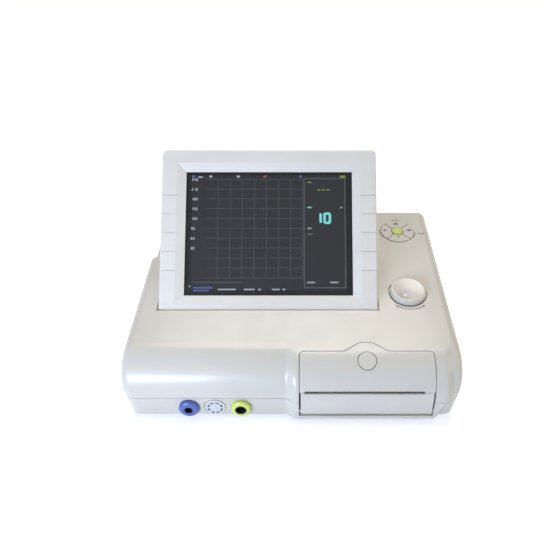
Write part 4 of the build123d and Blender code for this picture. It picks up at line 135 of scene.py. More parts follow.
def tint(tree, factor, dark, light):
    """Maps noise to a blend of two colours."""
    ramp = tree.nodes.new("ShaderNodeValToRGB")
    ramp.color_ramp.elements[0].position = NOISE_LOW
    ramp.color_ramp.elements[0].color = (*dark, 1)
    ramp.color_ramp.elements[1].position = NOISE_HIGH
    ramp.color_ramp.elements[1].color = (*light, 1)
    tree.links.new(factor, ramp.inputs["Fac"])
    return ramp.outputs["Color"]


print("noise and colour helpers ready")

# %% [markdown]
# ## Plastic and metal
# Moulded plastic takes the texture of its mould, so its bump is fine and even, and its sheen drifts a
# little. Turned or rolled metal has lines along one way, which come from the same noise, stretched.

# %% Plastic and metal helpers
BEVEL_SAMPLES = 4
TONE_SCALE = 14
SHEEN_SCALE = 60
SHEEN_BELOW = 0.04
SHEEN_ABOVE = 0.05
GRAIN_DETAIL = 2.0
GRAIN_DEPTH = 0.0002
COAT_ROUGHNESS = 0.12
METAL_DARK = 0.86
METAL_TONE_SCALE = 30
METAL_LINE_SCALE = 60
METAL_SHEEN_BELOW = 0.08
METAL_SHEEN_ABOVE = 0.12
METAL_EDGE = 0.0002
LINE_DEPTH = 0.0001


def roughened(tree, shader, factor, strength, distance, edge=0.0):
    """Bump from noise, over edges that are rounded in the shading."""
    bump = tree.nodes.new("ShaderNodeBump")
    bump.inputs["Strength"].default_value = strength
    bump.inputs["Distance"].default_value = distance
    tree.links.new(factor, bump.inputs["Height"])
    if edge:
        bevel = tree.nodes.new("ShaderNodeBevel")
        bevel.samples = BEVEL_SAMPLES
        bevel.inputs["Radius"].default_value = edge
        tree.links.new(bevel.outputs["Normal"], bump.inputs["Normal"])
    tree.links.new(bump.outputs["Normal"], shader.inputs["Normal"])


def plastic(name, colour, rough=0.4, grain=0.06, grain_scale=2600, tone=0.04, edge=0.0006, coat=0.0):
    """Moulded plastic: fine grain, faint tone changes and a soft edge."""
    tree, shader = new_material(name)
    dark = [c * (1 - tone) for c in colour]
    light = [min(1, c * (1 + tone)) for c in colour]
    tree.links.new(tint(tree, noise(tree, TONE_SCALE), dark, light), shader.inputs["Base Color"])
    sheen = between(tree, noise(tree, SHEEN_SCALE), rough - SHEEN_BELOW, rough + SHEEN_ABOVE)
    tree.links.new(sheen, shader.inputs["Roughness"])
    roughened(tree, shader, noise(tree, grain_scale, GRAIN_DETAIL), grain, GRAIN_DEPTH, edge)
    shader.inputs["Coat Weight"].default_value = coat
    shader.inputs["Coat Roughness"].default_value = COAT_ROUGHNESS
    return materials[name]


def metal(name, colour, rough=0.3, stretch=(1, 40, 40), grain=0.08):
    """Turned or rolled metal: fine lines along one way, and a changing sheen."""
    tree, shader = new_material(name)
    dark = [c * METAL_DARK for c in colour]
    tree.links.new(tint(tree, noise(tree, METAL_TONE_SCALE), dark, colour), shader.inputs["Base Color"])
    lines = noise(tree, METAL_LINE_SCALE, stretch=stretch)
    sheen = between(tree, lines, rough - METAL_SHEEN_BELOW, rough + METAL_SHEEN_ABOVE)
    tree.links.new(sheen, shader.inputs["Roughness"])
    roughened(tree, shader, lines, grain, LINE_DEPTH, METAL_EDGE)
    shader.inputs["Metallic"].default_value = 1.0
    return materials[name]


print("plastic and metal helpers ready")

# %% [markdown]
# ## Finishes of the outside
# The housing is one off-white moulded plastic with a satin surface, a little warm where the light is
# dim. The screen's frame is the same family of plastic, a shade lighter, cooler and smoother, and the
# buttons are glossier. The blue, white and yellow collars tell the sensor plugs apart, and the coloured
# ones have black liners, so that their holes read as dark.

# %% Outside finishes
plastic("housing_white", (0.54, 0.518, 0.475), rough=0.36, coat=0.2, edge=0.0009)
plastic("bezel_white", (0.70, 0.675, 0.635), rough=0.34, coat=0.2)
plastic("key_white", (0.55, 0.53, 0.48), rough=0.3, coat=0.25, edge=0.0008)
plastic("start_green", (0.54, 0.63, 0.12), rough=0.3, coat=0.25, edge=0.0008)
plastic("socket_blue", (0.045, 0.09, 0.34), rough=0.28, coat=0.35, edge=0.0004)
plastic("socket_white", (0.53, 0.54, 0.56), rough=0.32, coat=0.2, edge=0.0003)
plastic("socket_yellow", (0.56, 0.62, 0.13), rough=0.28, coat=0.35, edge=0.0004)
plastic("inner_grey", (0.20, 0.205, 0.21), rough=0.5, grain=0.15)
plastic("black_plastic", (0.018, 0.018, 0.02), rough=0.42, grain=0.12)
plastic("gear_plastic", (0.62, 0.59, 0.50), rough=0.4)
plastic("black_rubber", (0.02, 0.02, 0.02), rough=0.65, grain=0.3, grain_scale=1500)
plastic("grey_silicone", (0.45, 0.45, 0.43), rough=0.55, grain=0.2)
plastic("head_ceramic", (0.55, 0.52, 0.48), rough=0.25, grain=0.02)
plastic("display_module", (0.006, 0.007, 0.008), rough=0.5, grain=0.02, tone=0.2, edge=0.0)
print("outside finishes", len(materials))

# %% [markdown]
# ## Finishes of metal, boards, paper and glass
# Turned steel and brass show fine lines round them, and rolled sheet shows long ones. A circuit board
# is green lacquer over copper tracks, made here from a grid-like texture. Folded chart paper is matt,
# with fold lines every few tenths of a millimetre up its side, whose darker bands are painted shade
# between the sheets. The pane over the display is almost clear, and gives a soft reflection on the picture.

# %% Metal, board, paper and glass finishes
BOARD_DARK = (0.015, 0.10, 0.045, 1)
BOARD_LIGHT = (0.02, 0.12, 0.05, 1)
BOARD_ROUGHNESS = 0.3
TRACK_SCALE = 90
TRACK_WIDTH = 0.03
TRACK_COLOUR = (0.06, 0.22, 0.08, 1)
LACQUER_SCALE = 900
LACQUER_GRAIN = 0.1
FOLD_SCALE = 900
FOLD_DISTORTION = 0.6
FOLD_GRAIN = 0.3
PAPER_ROUGHNESS = 0.85
PAPER_GAP_SHADE = (0.62, 0.61, 0.57)
PAPER_LIGHT = (0.80, 0.79, 0.75)
PANE_COLOUR = (0.02, 0.021, 0.022, 1)
PANE_ALPHA = 0.25
PANE_SPECULAR = 0.25
PANE_SHEEN_SCALE = 40
PANE_SHEEN = (0.08, 0.14)

metal("steel_part", (0.55, 0.55, 0.56), rough=0.3)
metal("zinc_steel", (0.60, 0.61, 0.62), rough=0.42, stretch=(30, 2, 30))
metal("brass_part", (0.72, 0.52, 0.20), rough=0.28)


def board_green():
    """Green lacquer with lighter copper tracks under it."""
    tree, shader = new_material("board_green")
    place = tree.nodes.new("ShaderNodeTexCoord")
    tracks = tree.nodes.new("ShaderNodeTexBrick")
    tracks.inputs["Scale"].default_value = TRACK_SCALE
    tracks.inputs["Mortar Size"].default_value = TRACK_WIDTH
    tracks.inputs["Color1"].default_value = BOARD_DARK
    tracks.inputs["Color2"].default_value = BOARD_LIGHT
    tracks.inputs["Mortar"].default_value = TRACK_COLOUR
    tree.links.new(place.outputs["Object"], tracks.inputs["Vector"])
    tree.links.new(tracks.outputs["Color"], shader.inputs["Base Color"])
    roughened(tree, shader, noise(tree, LACQUER_SCALE), LACQUER_GRAIN, LINE_DEPTH)
    shader.inputs["Roughness"].default_value = BOARD_ROUGHNESS


def chart_paper():
    """White paper whose pack shows its folded sheets at the sides, with painted shade in darker bands between
    them.
    """
    tree, shader = new_material("chart_paper")
    place = tree.nodes.new("ShaderNodeTexCoord")
    folds_and_gap_shade = tree.nodes.new("ShaderNodeTexWave")
    folds_and_gap_shade.bands_direction = "Z"
    folds_and_gap_shade.inputs["Scale"].default_value = FOLD_SCALE
    folds_and_gap_shade.inputs["Distortion"].default_value = FOLD_DISTORTION
    tree.links.new(place.outputs["Object"], folds_and_gap_shade.inputs["Vector"])
    # The darker end of the bands is painted shade between the folded sheets; the relief from the same bands is
    # real.
    tree.links.new(tint(tree, folds_and_gap_shade.outputs["Fac"], PAPER_GAP_SHADE, PAPER_LIGHT), shader.inputs["Base Color"])
    roughened(tree, shader, folds_and_gap_shade.outputs["Fac"], FOLD_GRAIN, GRAIN_DEPTH)
    shader.inputs["Roughness"].default_value = PAPER_ROUGHNESS


def clear_pane():
    """A thin coated pane: nearly clear, with a weak, soft reflection."""
    tree, shader = new_material("clear_pane")
    shader.inputs["Base Color"].default_value = PANE_COLOUR
    shader.inputs["Alpha"].default_value = PANE_ALPHA
    shader.inputs["Specular IOR Level"].default_value = PANE_SPECULAR
    sheen = between(tree, noise(tree, PANE_SHEEN_SCALE), *PANE_SHEEN)
    tree.links.new(sheen, shader.inputs["Roughness"])


board_green()
chart_paper()
clear_pane()
for entry in frame["record"]["subparts"]:
    node = nodes[entry["node"]]
    node.data.materials.clear()
    node.data.materials.append(materials[entry["material_slot"]])
print("finishes", len(materials))

# %% [markdown]
# ## Frames to build in
# The deck slopes, and the raised screen leans. Each gets a matrix whose x runs across, y up the slope
# and z out of the surface, so that a flat piece is drawn in plain millimetres and then carried over in
# one step. Both come from the joints: the knob sinks straight into the deck and turns round a point in
# its plane, and the screen swings down by the low end of its range to lie along the deck.

# %% Deck and screen frames
joints = {joint["name"]: joint for joint in frame["joints"]}


def leaning(joint, tilt):
    """A frame at a joint's point, turned up about X by tilt."""
    return Matrix.Translation(Vector(joints[joint]["pos_m"])) @ Matrix.Rotation(tilt, 4, "X")


def box_in(place, name):
    """A node's lowest and highest corners in a frame of the script's own, in millimetres."""
    back = place.inverted()
    points = [back @ vertex.co / MM for vertex in nodes[name].data.vertices]
    low = Vector([min(values) for values in zip(*points)])
    high = Vector([max(values) for values in zip(*points)])
    return low, high


sinking = Vector(joints["knob_push"]["axis"])
deck_slope = math.atan2(sinking.y, -sinking.z)
screen_tilt = deck_slope - math.radians(min(joints["screen_lift"]["range_deg"]))
DECK = leaning("knob_turn", deck_slope)
SCREEN = leaning("screen_lift", screen_tilt)
print("deck", [round(v, 4) for v in DECK.translation], "screen", [round(v, 4) for v in SCREEN.translation])

# %% [markdown]
# ## Helpers for flat drawing
# Prints and the display's picture are flat polygons, so a few kinds of shape draw them all: bars,
# strokes, frames and figures of seven bars. A list of corners stays easy to read, and one function
# turns any number of them into a mesh.

# %% Drawing helpers
DIGIT_WIDTH = 0.55
DIGIT_SPACE = 0.42


def flat_object(name, shapes, place, level, material, body):
    """One mesh of flat polygons, each a list of (x, y) in millimetres, at a level above its frame."""
    mesh = bpy.data.meshes.new(name)
    work = bmesh.new()
    for points in shapes:
        work.faces.new([work.verts.new(Vector((x, y, level)) * MM) for x, y in points])
    work.transform(place)
    work.to_mesh(mesh)
    work.free()
    mesh.materials.append(materials[material])
    piece = bpy.data.objects.new(name, mesh)
    bpy.context.scene.collection.objects.link(piece)
    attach(piece, body)
    return piece


def bar(x0, y0, x1, y1):
    """A rectangle between two corners."""
    return [(x0, y0), (x1, y0), (x1, y1), (x0, y1)]


def stroke(x0, y0, x1, y1, width):
    """A straight line with a width."""
    along = Vector((x1 - x0, y1 - y0)).normalized() * width / 2
    side = Vector((-along.y, along.x))
    return [(x0 - side.x, y0 - side.y), (x1 - side.x, y1 - side.y),
            (x1 + side.x, y1 + side.y), (x0 + side.x, y0 + side.y)]


def frame_lines(x0, y0, x1, y1, width):
    """The four sides of a rectangle."""
    return [bar(x0, y0, x1, y0 + width), bar(x0, y1 - width, x1, y1),
            bar(x0, y0 + width, x0 + width, y1 - width), bar(x1 - width, y0 + width, x1, y1 - width)]


SEGMENTS = {"0": "abcdef", "1": "bc", "2": "abged", "3": "abgcd", "4": "fgbc", "5": "afgcd", "6": "afgedc",
            "7": "abc", "8": "abcdefg", "9": "abfgcd", "-": "g"}


def digits(text, x, y, height, width):
    """Seven-bar figures, from the left at x, standing on y."""
    wide = height * DIGIT_WIDTH
    half = height / 2
    bars = {"a": (0, height, wide, height), "b": (wide, half, wide, height), "c": (wide, 0, wide, half),
            "d": (0, 0, wide, 0), "e": (0, 0, 0, half), "f": (0, half, 0, height),
            "g": (0, half, wide, half)}
    shapes = []
    for figure in text:
        for name in SEGMENTS[figure]:
            x0, y0, x1, y1 = bars[name]
            shapes.append(stroke(x + x0, y + y0, x + x1, y + y1, width))
        if figure == "1":
            shapes.append(stroke(x + half, y + height - half / 3, x + wide, y + height - width / 2, width))
        x = x + wide + height * DIGIT_SPACE
    return shapes


print("drawing helpers ready")

# %% [markdown]
# ## The picture on the display
# A heart-rate monitor shows a grid with a scale at its left, a column of figures at its right, and a
# line of small signs above and below. The picture is drawn as thin flat shapes just in front of the
# display module, in glowing materials. Geometry keeps its edges sharp at any size, and it needs no
# image. All figures are made-up values.

# %% Inks for the picture
GLOW_SCALE = 25
GLOW_DARK = 0.94
INK_ROUGHNESS = 0.6


def ink(name, colour, strength):
    """A colour that glows a little, as a lit display does, a shade uneven as its backlight is."""
    tree, shader = new_material(name)
    dark = [c * GLOW_DARK for c in colour]
    tree.links.new(tint(tree, noise(tree, GLOW_SCALE), dark, colour), shader.inputs["Base Color"])
    shader.inputs["Roughness"].default_value = INK_ROUGHNESS
    shader.inputs["Emission Color"].default_value = (*colour, 1)
    shader.inputs["Emission Strength"].default_value = strength


ink("ink_ground", (0.029, 0.030, 0.034), 0.35)
ink("ink_grid", (0.11, 0.115, 0.125), 0.5)
ink("ink_grey", (0.19, 0.21, 0.22), 0.4)
ink("ink_white", (0.60, 0.64, 0.67), 0.65)
ink("ink_cyan", (0.22, 0.74, 0.72), 1.0)
ink("ink_green", (0.36, 0.48, 0.10), 0.5)
ink("ink_blue", (0.16, 0.22, 0.62), 0.5)
ink("ink_red", (0.55, 0.12, 0.12), 0.4)
print("inks ready")

# %% [markdown]
# ## The frame of the picture
# The lit ground is a little smaller than the display module, whose black edge frames it. Each layer
# lies a few hundredths of a millimetre before the last, behind the pane, so that no two surfaces share
# a place.

# %% The picture's frame
PICTURE_WIDTH = 163.4
PICTURE_HEIGHT = 123.75
PICTURE_MIDDLE = 79.16
PICTURE_BORDER = 2.2
LAYER_GAP = 0.05
LAYER_STEP = 0.05
GROUND_LAYER = 0
GRID_LAYER = 1
MARK_LAYER = 2

module_level = box_in(SCREEN, "lcd_panel")[1].z
PICTURE = SCREEN @ Matrix.Translation(Vector((0, PICTURE_MIDDLE - PICTURE_HEIGHT / 2, 0)) * MM)


def picture_piece(name, shapes, material, layer=MARK_LAYER):
    """A piece of the picture in one of its layers, with x from the middle and y from the bottom."""
    level = module_level + LAYER_GAP + layer * LAYER_STEP
    return flat_object(name, shapes, PICTURE, level, material, "screen")


half_ground = PICTURE_WIDTH / 2 - PICTURE_BORDER
ground = bar(-half_ground, PICTURE_BORDER, half_ground, PICTURE_HEIGHT - PICTURE_BORDER)
picture_piece("picture_ground", [ground], "ink_ground", GROUND_LAYER)
print("picture", PICTURE_WIDTH, "by", PICTURE_HEIGHT, "mm")

# %% [markdown]
# ## The grid
# A trace is read against a grid of time and beats, so the lines are even, faint and thin, and the
# scale's figures stand at the left of their lines. The figures fall by thirty from line to line, down
# to thirty.

# %% Grid and scale
GRID_TOP = 116.9
GRID_ROWS = 11
GRID_STEP = 10.25
GRID_LEFT = -65.0
GRID_RIGHT = 34.5
COLUMN_FIRST = -52.8
COLUMN_STEP = 12.45
COLUMNS = 8
HAIRLINE = 0.5
SCALE_X = -79.8
SCALE_TOP_FIGURE = 240
SCALE_FALL = 30
FIGURE_HEIGHT = 2.3
FIGURE_LINE = 0.5

grid = []
scale_figures = []
for row in range(GRID_ROWS):
    y = GRID_TOP - row * GRID_STEP
    grid.append(bar(GRID_LEFT, y, GRID_RIGHT, y + HAIRLINE))
    value = SCALE_TOP_FIGURE - SCALE_FALL * row
    if value > 0:
        low = y - FIGURE_HEIGHT / 2
        scale_figures = scale_figures + digits(str(value), SCALE_X, low, FIGURE_HEIGHT, FIGURE_LINE)
for column in range(COLUMNS):
    x = COLUMN_FIRST + column * COLUMN_STEP
    grid.append(bar(x, GRID_TOP - (GRID_ROWS - 1) * GRID_STEP, x + HAIRLINE, GRID_TOP))
picture_piece("picture_grid", grid, "ink_grid", GRID_LAYER)
picture_piece("picture_scale", scale_figures, "ink_white")
print("grid lines", len(grid))

# %% [markdown]
# ## The column of readings
# At the right a thin frame holds the readings: three dashes where a probe isn't plugged in, and a large
# figure under its label. Labels are rows of short bars, which is all that lettering of this size shows.

# %% The column of readings
COLUMN_LEFT = 35.7
COLUMN_RIGHT = 78.4
COLUMN_LOW = 4.4
COLUMN_HIGH = 118.4
LABEL_X = 39.2
LABEL_WIDTH = 4.6
LABEL_HEIGHT = 1.5
READING_X = 47.6
READING_LOW = 71.5
READING_HEIGHT = 9.7
READING_LINE = 2.5
DASH_X = 49.6
DASH_LOW = 103.6
DASH_HEIGHT = 5.0
DASH_LINE = 1.3
COLUMN_LINE = 0.7
LETTER_SHARE = 0.78
DASH_LABEL_LOW = 113.4
READING_LABEL_LOW = 86.9
THIRD_LABEL_LOW = 65.0
NOTE_LOW = 59.0
NOTE_WIDTH = 6.5
FOOT_LOW = 9.4
FOOT_LABELS = ((LABEL_X, 8.0), (62.5, 8.6))
UNIT_X = 73.4
UNIT_WIDTH = 2.0


def label(x, y, width=LABEL_WIDTH):
    """A row of short bars in the place of a word."""
    letters = max(2, round(width / LABEL_HEIGHT))
    pitch = width / letters
    shapes = []
    for index in range(letters):
        shapes.append(bar(x + index * pitch, y, x + (index + LETTER_SHARE) * pitch, y + LABEL_HEIGHT))
    return shapes


def label_row(places, y):
    """Labels on one line, each given by its left end and width."""
    shapes = []
    for x, width in places:
        shapes = shapes + label(x, y, width)
    return shapes


column = frame_lines(COLUMN_LEFT, COLUMN_LOW, COLUMN_RIGHT, COLUMN_HIGH, COLUMN_LINE)
dashes = digits("---", DASH_X, DASH_LOW, DASH_HEIGHT, DASH_LINE)
reading = digits("10", READING_X, READING_LOW, READING_HEIGHT, READING_LINE)
white_labels = label(LABEL_X, THIRD_LABEL_LOW) + label_row(FOOT_LABELS, FOOT_LOW)
unit = label(UNIT_X, READING_LABEL_LOW, UNIT_WIDTH)
picture_piece("column_frame", column, "ink_grey")
picture_piece("column_dashes", dashes + label(LABEL_X, DASH_LABEL_LOW), "ink_green")
picture_piece("column_reading", reading + label(LABEL_X, READING_LABEL_LOW), "ink_cyan")
picture_piece("column_labels", white_labels + unit, "ink_white")
picture_piece("column_note", label(LABEL_X, NOTE_LOW, NOTE_WIDTH), "ink_grey")
print("column pieces 5")

# %% [markdown]
# ## Small signs above and below the traces
# Over the grid stand the signs of the channels, the alarm and the battery, each in its own colour.
# Under it run the date and the settings. They are too small to read, so they are drawn as small shields
# and as rows of short bars.

# %% Signs above and below
SIGN_LOW = 118.9
SIGN_HEIGHT = 2.4
VIOLET_SIGNS = ((-78.6, 3.4), (32.4, 3.0))
WHITE_SIGNS = ((-60.6, 3.2), (-32.2, 3.4))
ALARM_SIGNS = ((-4.5, 3.8),)
CHANNEL_LABEL = ((-73.5, 5.0),)
BATTERY_LEFT = 73.2
BATTERY_RIGHT = 78.6
DATE_X = -76.4
DATE_LOW = 1.2
DATE_WIDTH = 16.0
TIME_LOW = 4.0
TIME_WIDTH = 19.5
SETTING_LOW = 2.3
SETTINGS = ((-51.2, 18.2), (-24.9, 11.0), (-10.4, 3.0), (3.4, 8.0), (14.2, 3.0))
CORNER_LOW = 5.4
CORNER_MARK = ((-80.9, 1.6),)
BASE_LEFT = -76.6
BASE_RIGHT = -28.0
BASE_LOW = 9.9
BASE_LINE = 0.5


def signs(places):
    """Small shields, each a bar with a narrower foot, given by their middle and width."""
    top = SIGN_LOW + SIGN_HEIGHT
    waist = SIGN_LOW + SIGN_HEIGHT / 2
    shapes = []
    for x, width in places:
        half = width / 2
        foot = half / 3
        shapes.append([(x - half, top), (x - half, waist), (x - foot, SIGN_LOW),
                       (x + foot, SIGN_LOW), (x + half, waist), (x + half, top)])
    return shapes


battery = bar(BATTERY_LEFT, SIGN_LOW, BATTERY_RIGHT, SIGN_LOW + SIGN_HEIGHT)
dates = label(DATE_X, DATE_LOW, DATE_WIDTH) + label(DATE_X, TIME_LOW, TIME_WIDTH)
settings = label_row(SETTINGS, SETTING_LOW) + label_row(CORNER_MARK, CORNER_LOW)
picture_piece("signs_violet", signs(VIOLET_SIGNS), "ink_blue")
picture_piece("signs_white", signs(WHITE_SIGNS) + label_row(CHANNEL_LABEL, SIGN_LOW), "ink_white")
picture_piece("sign_alarm", signs(ALARM_SIGNS), "ink_red")
picture_piece("sign_battery", [battery], "ink_green")
picture_piece("date_rows", dates, "ink_blue")
picture_piece("setting_rows", settings, "ink_white")
picture_piece("base_line", [bar(BASE_LEFT, BASE_LOW, BASE_RIGHT, BASE_LOW + BASE_LINE)], "ink_grey")
print("sign pieces 7")

# %% [markdown]
# ## Printed marks
# Two short dark arcs are drawn just outside the ring of keys, in the same grey as the print. A label
# stands behind the ring and one at its right, and a two-headed arrow before the knob says that it turns.
# Print is a thin layer on the plastic, so each mark is a flat shape a few hundredths of a millimetre above it.

# %% Arcs and arrow heads
MIDDLE = (0, 0)
ARC_STEPS = 16
ARROW_SPREAD = 0.6


def turned(centre, radius, degrees):
    """A point at an angle round a centre, counted from +x."""
    angle = math.radians(degrees)
    return centre[0] + radius * math.cos(angle), centre[1] + radius * math.sin(angle)


def arc(centre, radius, start, end, width, steps=ARC_STEPS):
    """A curved line round a centre, between two angles."""
    inner = radius - width / 2
    outer = radius + width / 2
    shapes = []
    for index in range(steps):
        a = start + (end - start) * index / steps
        b = start + (end - start) * (index + 1) / steps
        corners = ((inner, a), (outer, a), (outer, b), (inner, b))
        shapes.append([turned(centre, reach, degrees) for reach, degrees in corners])
    return shapes


def arrow_head(x, y, heading, size):
    """A small triangle whose tip points along heading."""
    turn = math.radians(heading)
    ahead = Vector((math.cos(turn), math.sin(turn))) * size
    side = Vector((-ahead.y, ahead.x)) * ARROW_SPREAD
    return [(x + ahead.x, y + ahead.y), (x + side.x, y + side.y), (x - side.x, y - side.y)]


print("arc helpers ready")

# %% [markdown]
# ## Where the marks stand
# The knob's centre is the zero point of the deck's frame. The middle of the ring of keys comes from the
# outer ends of its four keys, and the labels are placed from it, so the arcs stay concentric with what
# they go round.

# %% Marks on the deck
KNOB = MIDDLE
KNOB_ARC_RADIUS = 23.4
KNOB_ARC_TURNS = (237, 303)
KNOB_ARC_LINE = 0.9
ARROW_HEADINGS = (140, 40)
ARROW_SIZE = 2.6
KEY_ARC_RADIUS = 20.6
KEY_ARC_TURNS = ((174, 211), (325, 360))
KEY_ARC_LINE = 0.7
DECK_LABELS = ((-4.1, 20.93, 9.3), (23.3, -4.07, 7.8))
PRINT_LEVEL = 0.04

left = box_in(DECK, "key_left")[0].x
right = box_in(DECK, "key_right")[1].x
front = box_in(DECK, "key_down")[0].y
rear = box_in(DECK, "key_up")[1].y
ring_middle = ((left + right) / 2, (front + rear) / 2)

plastic("print_grey", (0.07, 0.08, 0.08), rough=0.5, grain=0.02, edge=0.0)
marks = arc(KNOB, KNOB_ARC_RADIUS, *KNOB_ARC_TURNS, KNOB_ARC_LINE)
for degrees, heading in zip(KNOB_ARC_TURNS, ARROW_HEADINGS):
    marks.append(arrow_head(*turned(KNOB, KNOB_ARC_RADIUS, degrees), heading, ARROW_SIZE))
for turns in KEY_ARC_TURNS:
    marks = marks + arc(ring_middle, KEY_ARC_RADIUS, *turns, KEY_ARC_LINE)
for x, y, width in DECK_LABELS:
    marks = marks + label(ring_middle[0] + x, ring_middle[1] + y, width)
flat_object("deck_marks", marks, DECK, PRINT_LEVEL, "print_grey", "console")
print("deck marks", len(marks))

# %% [markdown]
# ## Signs on the keys
# Each ring key carries one dark sign: a loudspeaker, a sheet in its tray, a flag and a bar. A sign is
# drawn about its own middle, in a size that shows from a step away, and rides on its key, so that it
# goes down with it.

# %% Signs on the keys
SIGN_OUT = 14.0
LOW_SIGN_OUT = 10.6
SIGN_GROWTH = 1.35
WAVE_RADIUS = 1.9
WAVE_TURNS = (-40, 40)
WAVE_LINE = 0.4
WAVE_STEPS = 4
HORN = [(-1.8, -0.7), (-0.9, -0.7), (0.5, -1.7), (0.5, 1.7), (-0.9, 0.7), (-1.8, 0.7)]
SHEET = (-1.3, 0, 1.3, 1.6)
TRAY = (-2.2, -1.5, 2.2, -0.4)
STAFF = (-1.9, -1.6, -1.3, 1.6)
FLAG = (-0.9, -0.9, 1.9, 1.5)
BAR = (-1.6, -0.5, 1.6, 0.5)

speaker_sign = [HORN] + arc(MIDDLE, WAVE_RADIUS, *WAVE_TURNS, WAVE_LINE, WAVE_STEPS)
sheet_sign = [bar(*SHEET), bar(*TRAY)]
flag_sign = [bar(*STAFF), bar(*FLAG)]
bar_sign = [bar(*BAR)]
KEY_SIGNS = [("right", 6, SIGN_OUT, flag_sign), ("up", 90, SIGN_OUT, sheet_sign),
             ("left", 174, SIGN_OUT, speaker_sign), ("down", 270, LOW_SIGN_OUT, bar_sign)]


def placed(shapes, x, y):
    """Shapes drawn about zero, made larger and carried to a point."""
    return [[(x + px * SIGN_GROWTH, y + py * SIGN_GROWTH) for px, py in points] for points in shapes]


for name, degrees, out, shapes in KEY_SIGNS:
    x, y = turned(ring_middle, out, degrees)
    level = box_in(DECK, "key_" + name)[1].z + PRINT_LEVEL
    flat_object("mark_" + name, placed(shapes, x, y), DECK, level, "print_grey", name + "_key")
print("key signs", len(KEY_SIGNS))

# %% [markdown]
# ## The middle socket
# Its contact slots lie in a broken ring, dark against the white, and a short printed arc stands at its
# left. Thin curved plates at the bottom of the slots stand for the contact pieces; they are black, which
# is painted shade that makes the shallow slots read as deep. The slots go as deep from the socket's face
# as the outer face of the wall, so the plates and the arc are drawn from one frame there.

# %% The middle socket's contact plates, black as painted shade, and its arc
SLOT_DEPTH = 1.2
CONTACTS = 8
CONTACT_SPREAD = 26
CONTACT_RADIUS = 6.4
CONTACT_LINE = 1.5
CONTACT_STEPS = 4
CONTACT_LEVEL = 0.15
SOCKET_ARC_RADIUS = 10.5
SOCKET_ARC_TURNS = (142, 222)
SOCKET_ARC_LINE = 0.5

low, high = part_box("socket_white")
slot_floor = Vector(((low.x + high.x) / 2, low.y + SLOT_DEPTH * MM, (low.z + high.z) / 2))
WALL = Matrix.Translation(slot_floor) @ Matrix.Rotation(math.radians(90), 4, "X")

contact_plates_and_shade = []
for index in range(CONTACTS):
    start = 360 * (index + 0.5) / CONTACTS - CONTACT_SPREAD / 2
    end = start + CONTACT_SPREAD
    contact_plates_and_shade = contact_plates_and_shade + arc(MIDDLE, CONTACT_RADIUS, start, end, CONTACT_LINE, CONTACT_STEPS)
# The plates are black as painted shade, so that the shallow slots read dark and deep.
flat_object("socket_contact_plates_and_shade", contact_plates_and_shade, WALL, CONTACT_LEVEL, "black_plastic", "console")
socket_arc = arc(MIDDLE, SOCKET_ARC_RADIUS, *SOCKET_ARC_TURNS, SOCKET_ARC_LINE)
flat_object("socket_arc", socket_arc, WALL, PRINT_LEVEL, "print_grey", "console")
print("contact_plates_and_shade", CONTACTS)

# %% [markdown]
# ## The world and the floor
# The machine stands on plain white. The world lights it softly, and is white where the camera or a
# reflection sees it. The floor meets it without an edge, while the light that the floor loses by the
# machine shows as a soft shadow.

# %% World
WORLD_STRENGTH = 0.24
WORLD_COLOUR = (1.0, 0.96, 0.87, 1)
WHITE = (1, 1, 1, 1)
WHITE_STRENGTH = 1.0


def seen_rays(tree):
    """1 for rays from the camera, from a reflection or through a clear pane, and 0 for all others."""
    rays = tree.nodes.new("ShaderNodeLightPath")
    first = tree.nodes.new("ShaderNodeMath")
    first.operation = "ADD"
    both = tree.nodes.new("ShaderNodeMath")
    both.operation = "ADD"
    both.use_clamp = True
    tree.links.new(rays.outputs["Is Camera Ray"], first.inputs[0])
    tree.links.new(rays.outputs["Is Transmission Ray"], first.inputs[1])
    tree.links.new(first.outputs[0], both.inputs[0])
    tree.links.new(rays.outputs["Is Glossy Ray"], both.inputs[1])
    return both.outputs[0]


def studio_world():
    """Dim, warm light on the machine, and plain white where it is seen."""
    world = bpy.data.worlds.new("studio")
    bpy.context.scene.world = world
    world.use_nodes = True
    tree = world.node_tree
    tree.nodes.clear()
    output = tree.nodes.new("ShaderNodeOutputWorld")
    light = tree.nodes.new("ShaderNodeBackground")
    light.inputs["Color"].default_value = WORLD_COLOUR
    light.inputs["Strength"].default_value = WORLD_STRENGTH
    shown = tree.nodes.new("ShaderNodeBackground")
    shown.inputs["Color"].default_value = WHITE
    shown.inputs["Strength"].default_value = WHITE_STRENGTH
    mix = tree.nodes.new("ShaderNodeMixShader")
    tree.links.new(seen_rays(tree), mix.inputs["Fac"])
    tree.links.new(light.outputs[0], mix.inputs[1])
    tree.links.new(shown.outputs[0], mix.inputs[2])
    tree.links.new(mix.outputs[0], output.inputs["Surface"])


studio_world()
print("world", WORLD_STRENGTH)

# %% [markdown]
# ## The floor
# A wide pale sheet, a little cooler than the light, so that it comes out neutral. It glows a little
# where the camera, a reflection or a clear pane shows it, and adds no other light to the machine.

# %% Floor
FLOOR_HALF = 3.0
FLOOR_GLOW = 0.41
FLOOR_COLOUR = (0.90, 0.92, 0.97, 1)
FLOOR_ROUGHNESS = 0.9

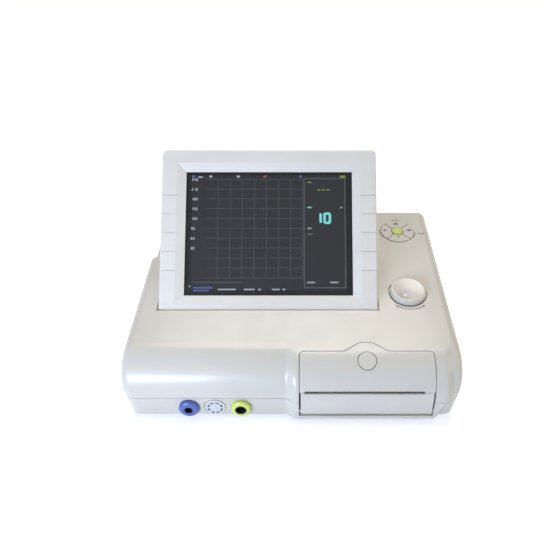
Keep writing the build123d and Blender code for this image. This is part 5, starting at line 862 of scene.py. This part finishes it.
floor_mesh = bpy.data.meshes.new("floor")
floor_work = bmesh.new()
bmesh.ops.create_grid(floor_work, x_segments=2, y_segments=2, size=FLOOR_HALF)
floor_work.to_mesh(floor_mesh)
floor_work.free()
floor = bpy.data.objects.new("floor", floor_mesh)
bpy.context.scene.collection.objects.link(floor)
tree, shader = new_material("floor_white")
shader.inputs["Base Color"].default_value = FLOOR_COLOUR
shader.inputs["Roughness"].default_value = FLOOR_ROUGHNESS
shader.inputs["Specular IOR Level"].default_value = 0.0
shader.inputs["Emission Color"].default_value = WHITE
glow = tree.nodes.new("ShaderNodeMath")
glow.operation = "MULTIPLY"
glow.inputs[1].default_value = FLOOR_GLOW
tree.links.new(seen_rays(tree), glow.inputs[0])
tree.links.new(glow.outputs[0], shader.inputs["Emission Strength"])
floor_mesh.materials.append(materials["floor_white"])
print("floor", FLOOR_HALF * 2, "m wide")

# %% [markdown]
# ## The lamps
# A wide, warm light comes from above and a little behind, as from a studio's ceiling. It lights the
# deck, and lets the machine throw a soft shadow before its front. A large cool lamp stands low at the
# front left: it gives the front its bluer light, which falls off to the right. A weak warm lamp from
# the right keeps that side from going dark.

# %% Lamps
def lamp(name, place, target, size, power, colour):
    """A rectangular soft lamp that faces a point."""
    data = bpy.data.lights.new(name, "AREA")
    data.shape = "RECTANGLE"
    data.size, data.size_y = size
    data.energy = power
    data.color = colour
    thing = bpy.data.objects.new(name, data)
    thing.location = place
    thing.rotation_euler = (Vector(target) - Vector(place)).to_track_quat("-Z", "Y").to_euler()
    bpy.context.scene.collection.objects.link(thing)


def ceiling(elevation, spread, strength, colour):
    """A light from far above and behind, with a wide angle for soft shadows."""
    data = bpy.data.lights.new("ceiling", "SUN")
    data.energy = strength
    data.angle = math.radians(spread)
    data.color = colour
    thing = bpy.data.objects.new("ceiling", data)
    thing.rotation_euler = (math.radians(elevation - 90), 0, 0)
    bpy.context.scene.collection.objects.link(thing)


CEILING_ELEVATION = 64
CEILING_SPREAD = 30
CEILING_STRENGTH = 1.6
CEILING_COLOUR = (1.0, 0.965, 0.89)
FRONT_PLACE = (-0.45, -0.85, 0.28)
FRONT_TARGET = (-0.02, -0.05, 0.05)
FRONT_SIZE = (0.5, 0.25)
FRONT_POWER = 8.9
FRONT_COLOUR = (0.66, 0.78, 1.0)
RIGHT_PLACE = (0.9, -0.1, 0.45)
RIGHT_TARGET = (0.05, 0, 0.05)
RIGHT_SIZE = (0.6, 0.6)
RIGHT_POWER = 1.8
RIGHT_COLOUR = (1.0, 0.90, 0.72)

ceiling(CEILING_ELEVATION, CEILING_SPREAD, CEILING_STRENGTH, CEILING_COLOUR)
lamp("front_lamp", FRONT_PLACE, FRONT_TARGET, FRONT_SIZE, FRONT_POWER, FRONT_COLOUR)
lamp("right_lamp", RIGHT_PLACE, RIGHT_TARGET, RIGHT_SIZE, RIGHT_POWER, RIGHT_COLOUR)
print("lamps 3")
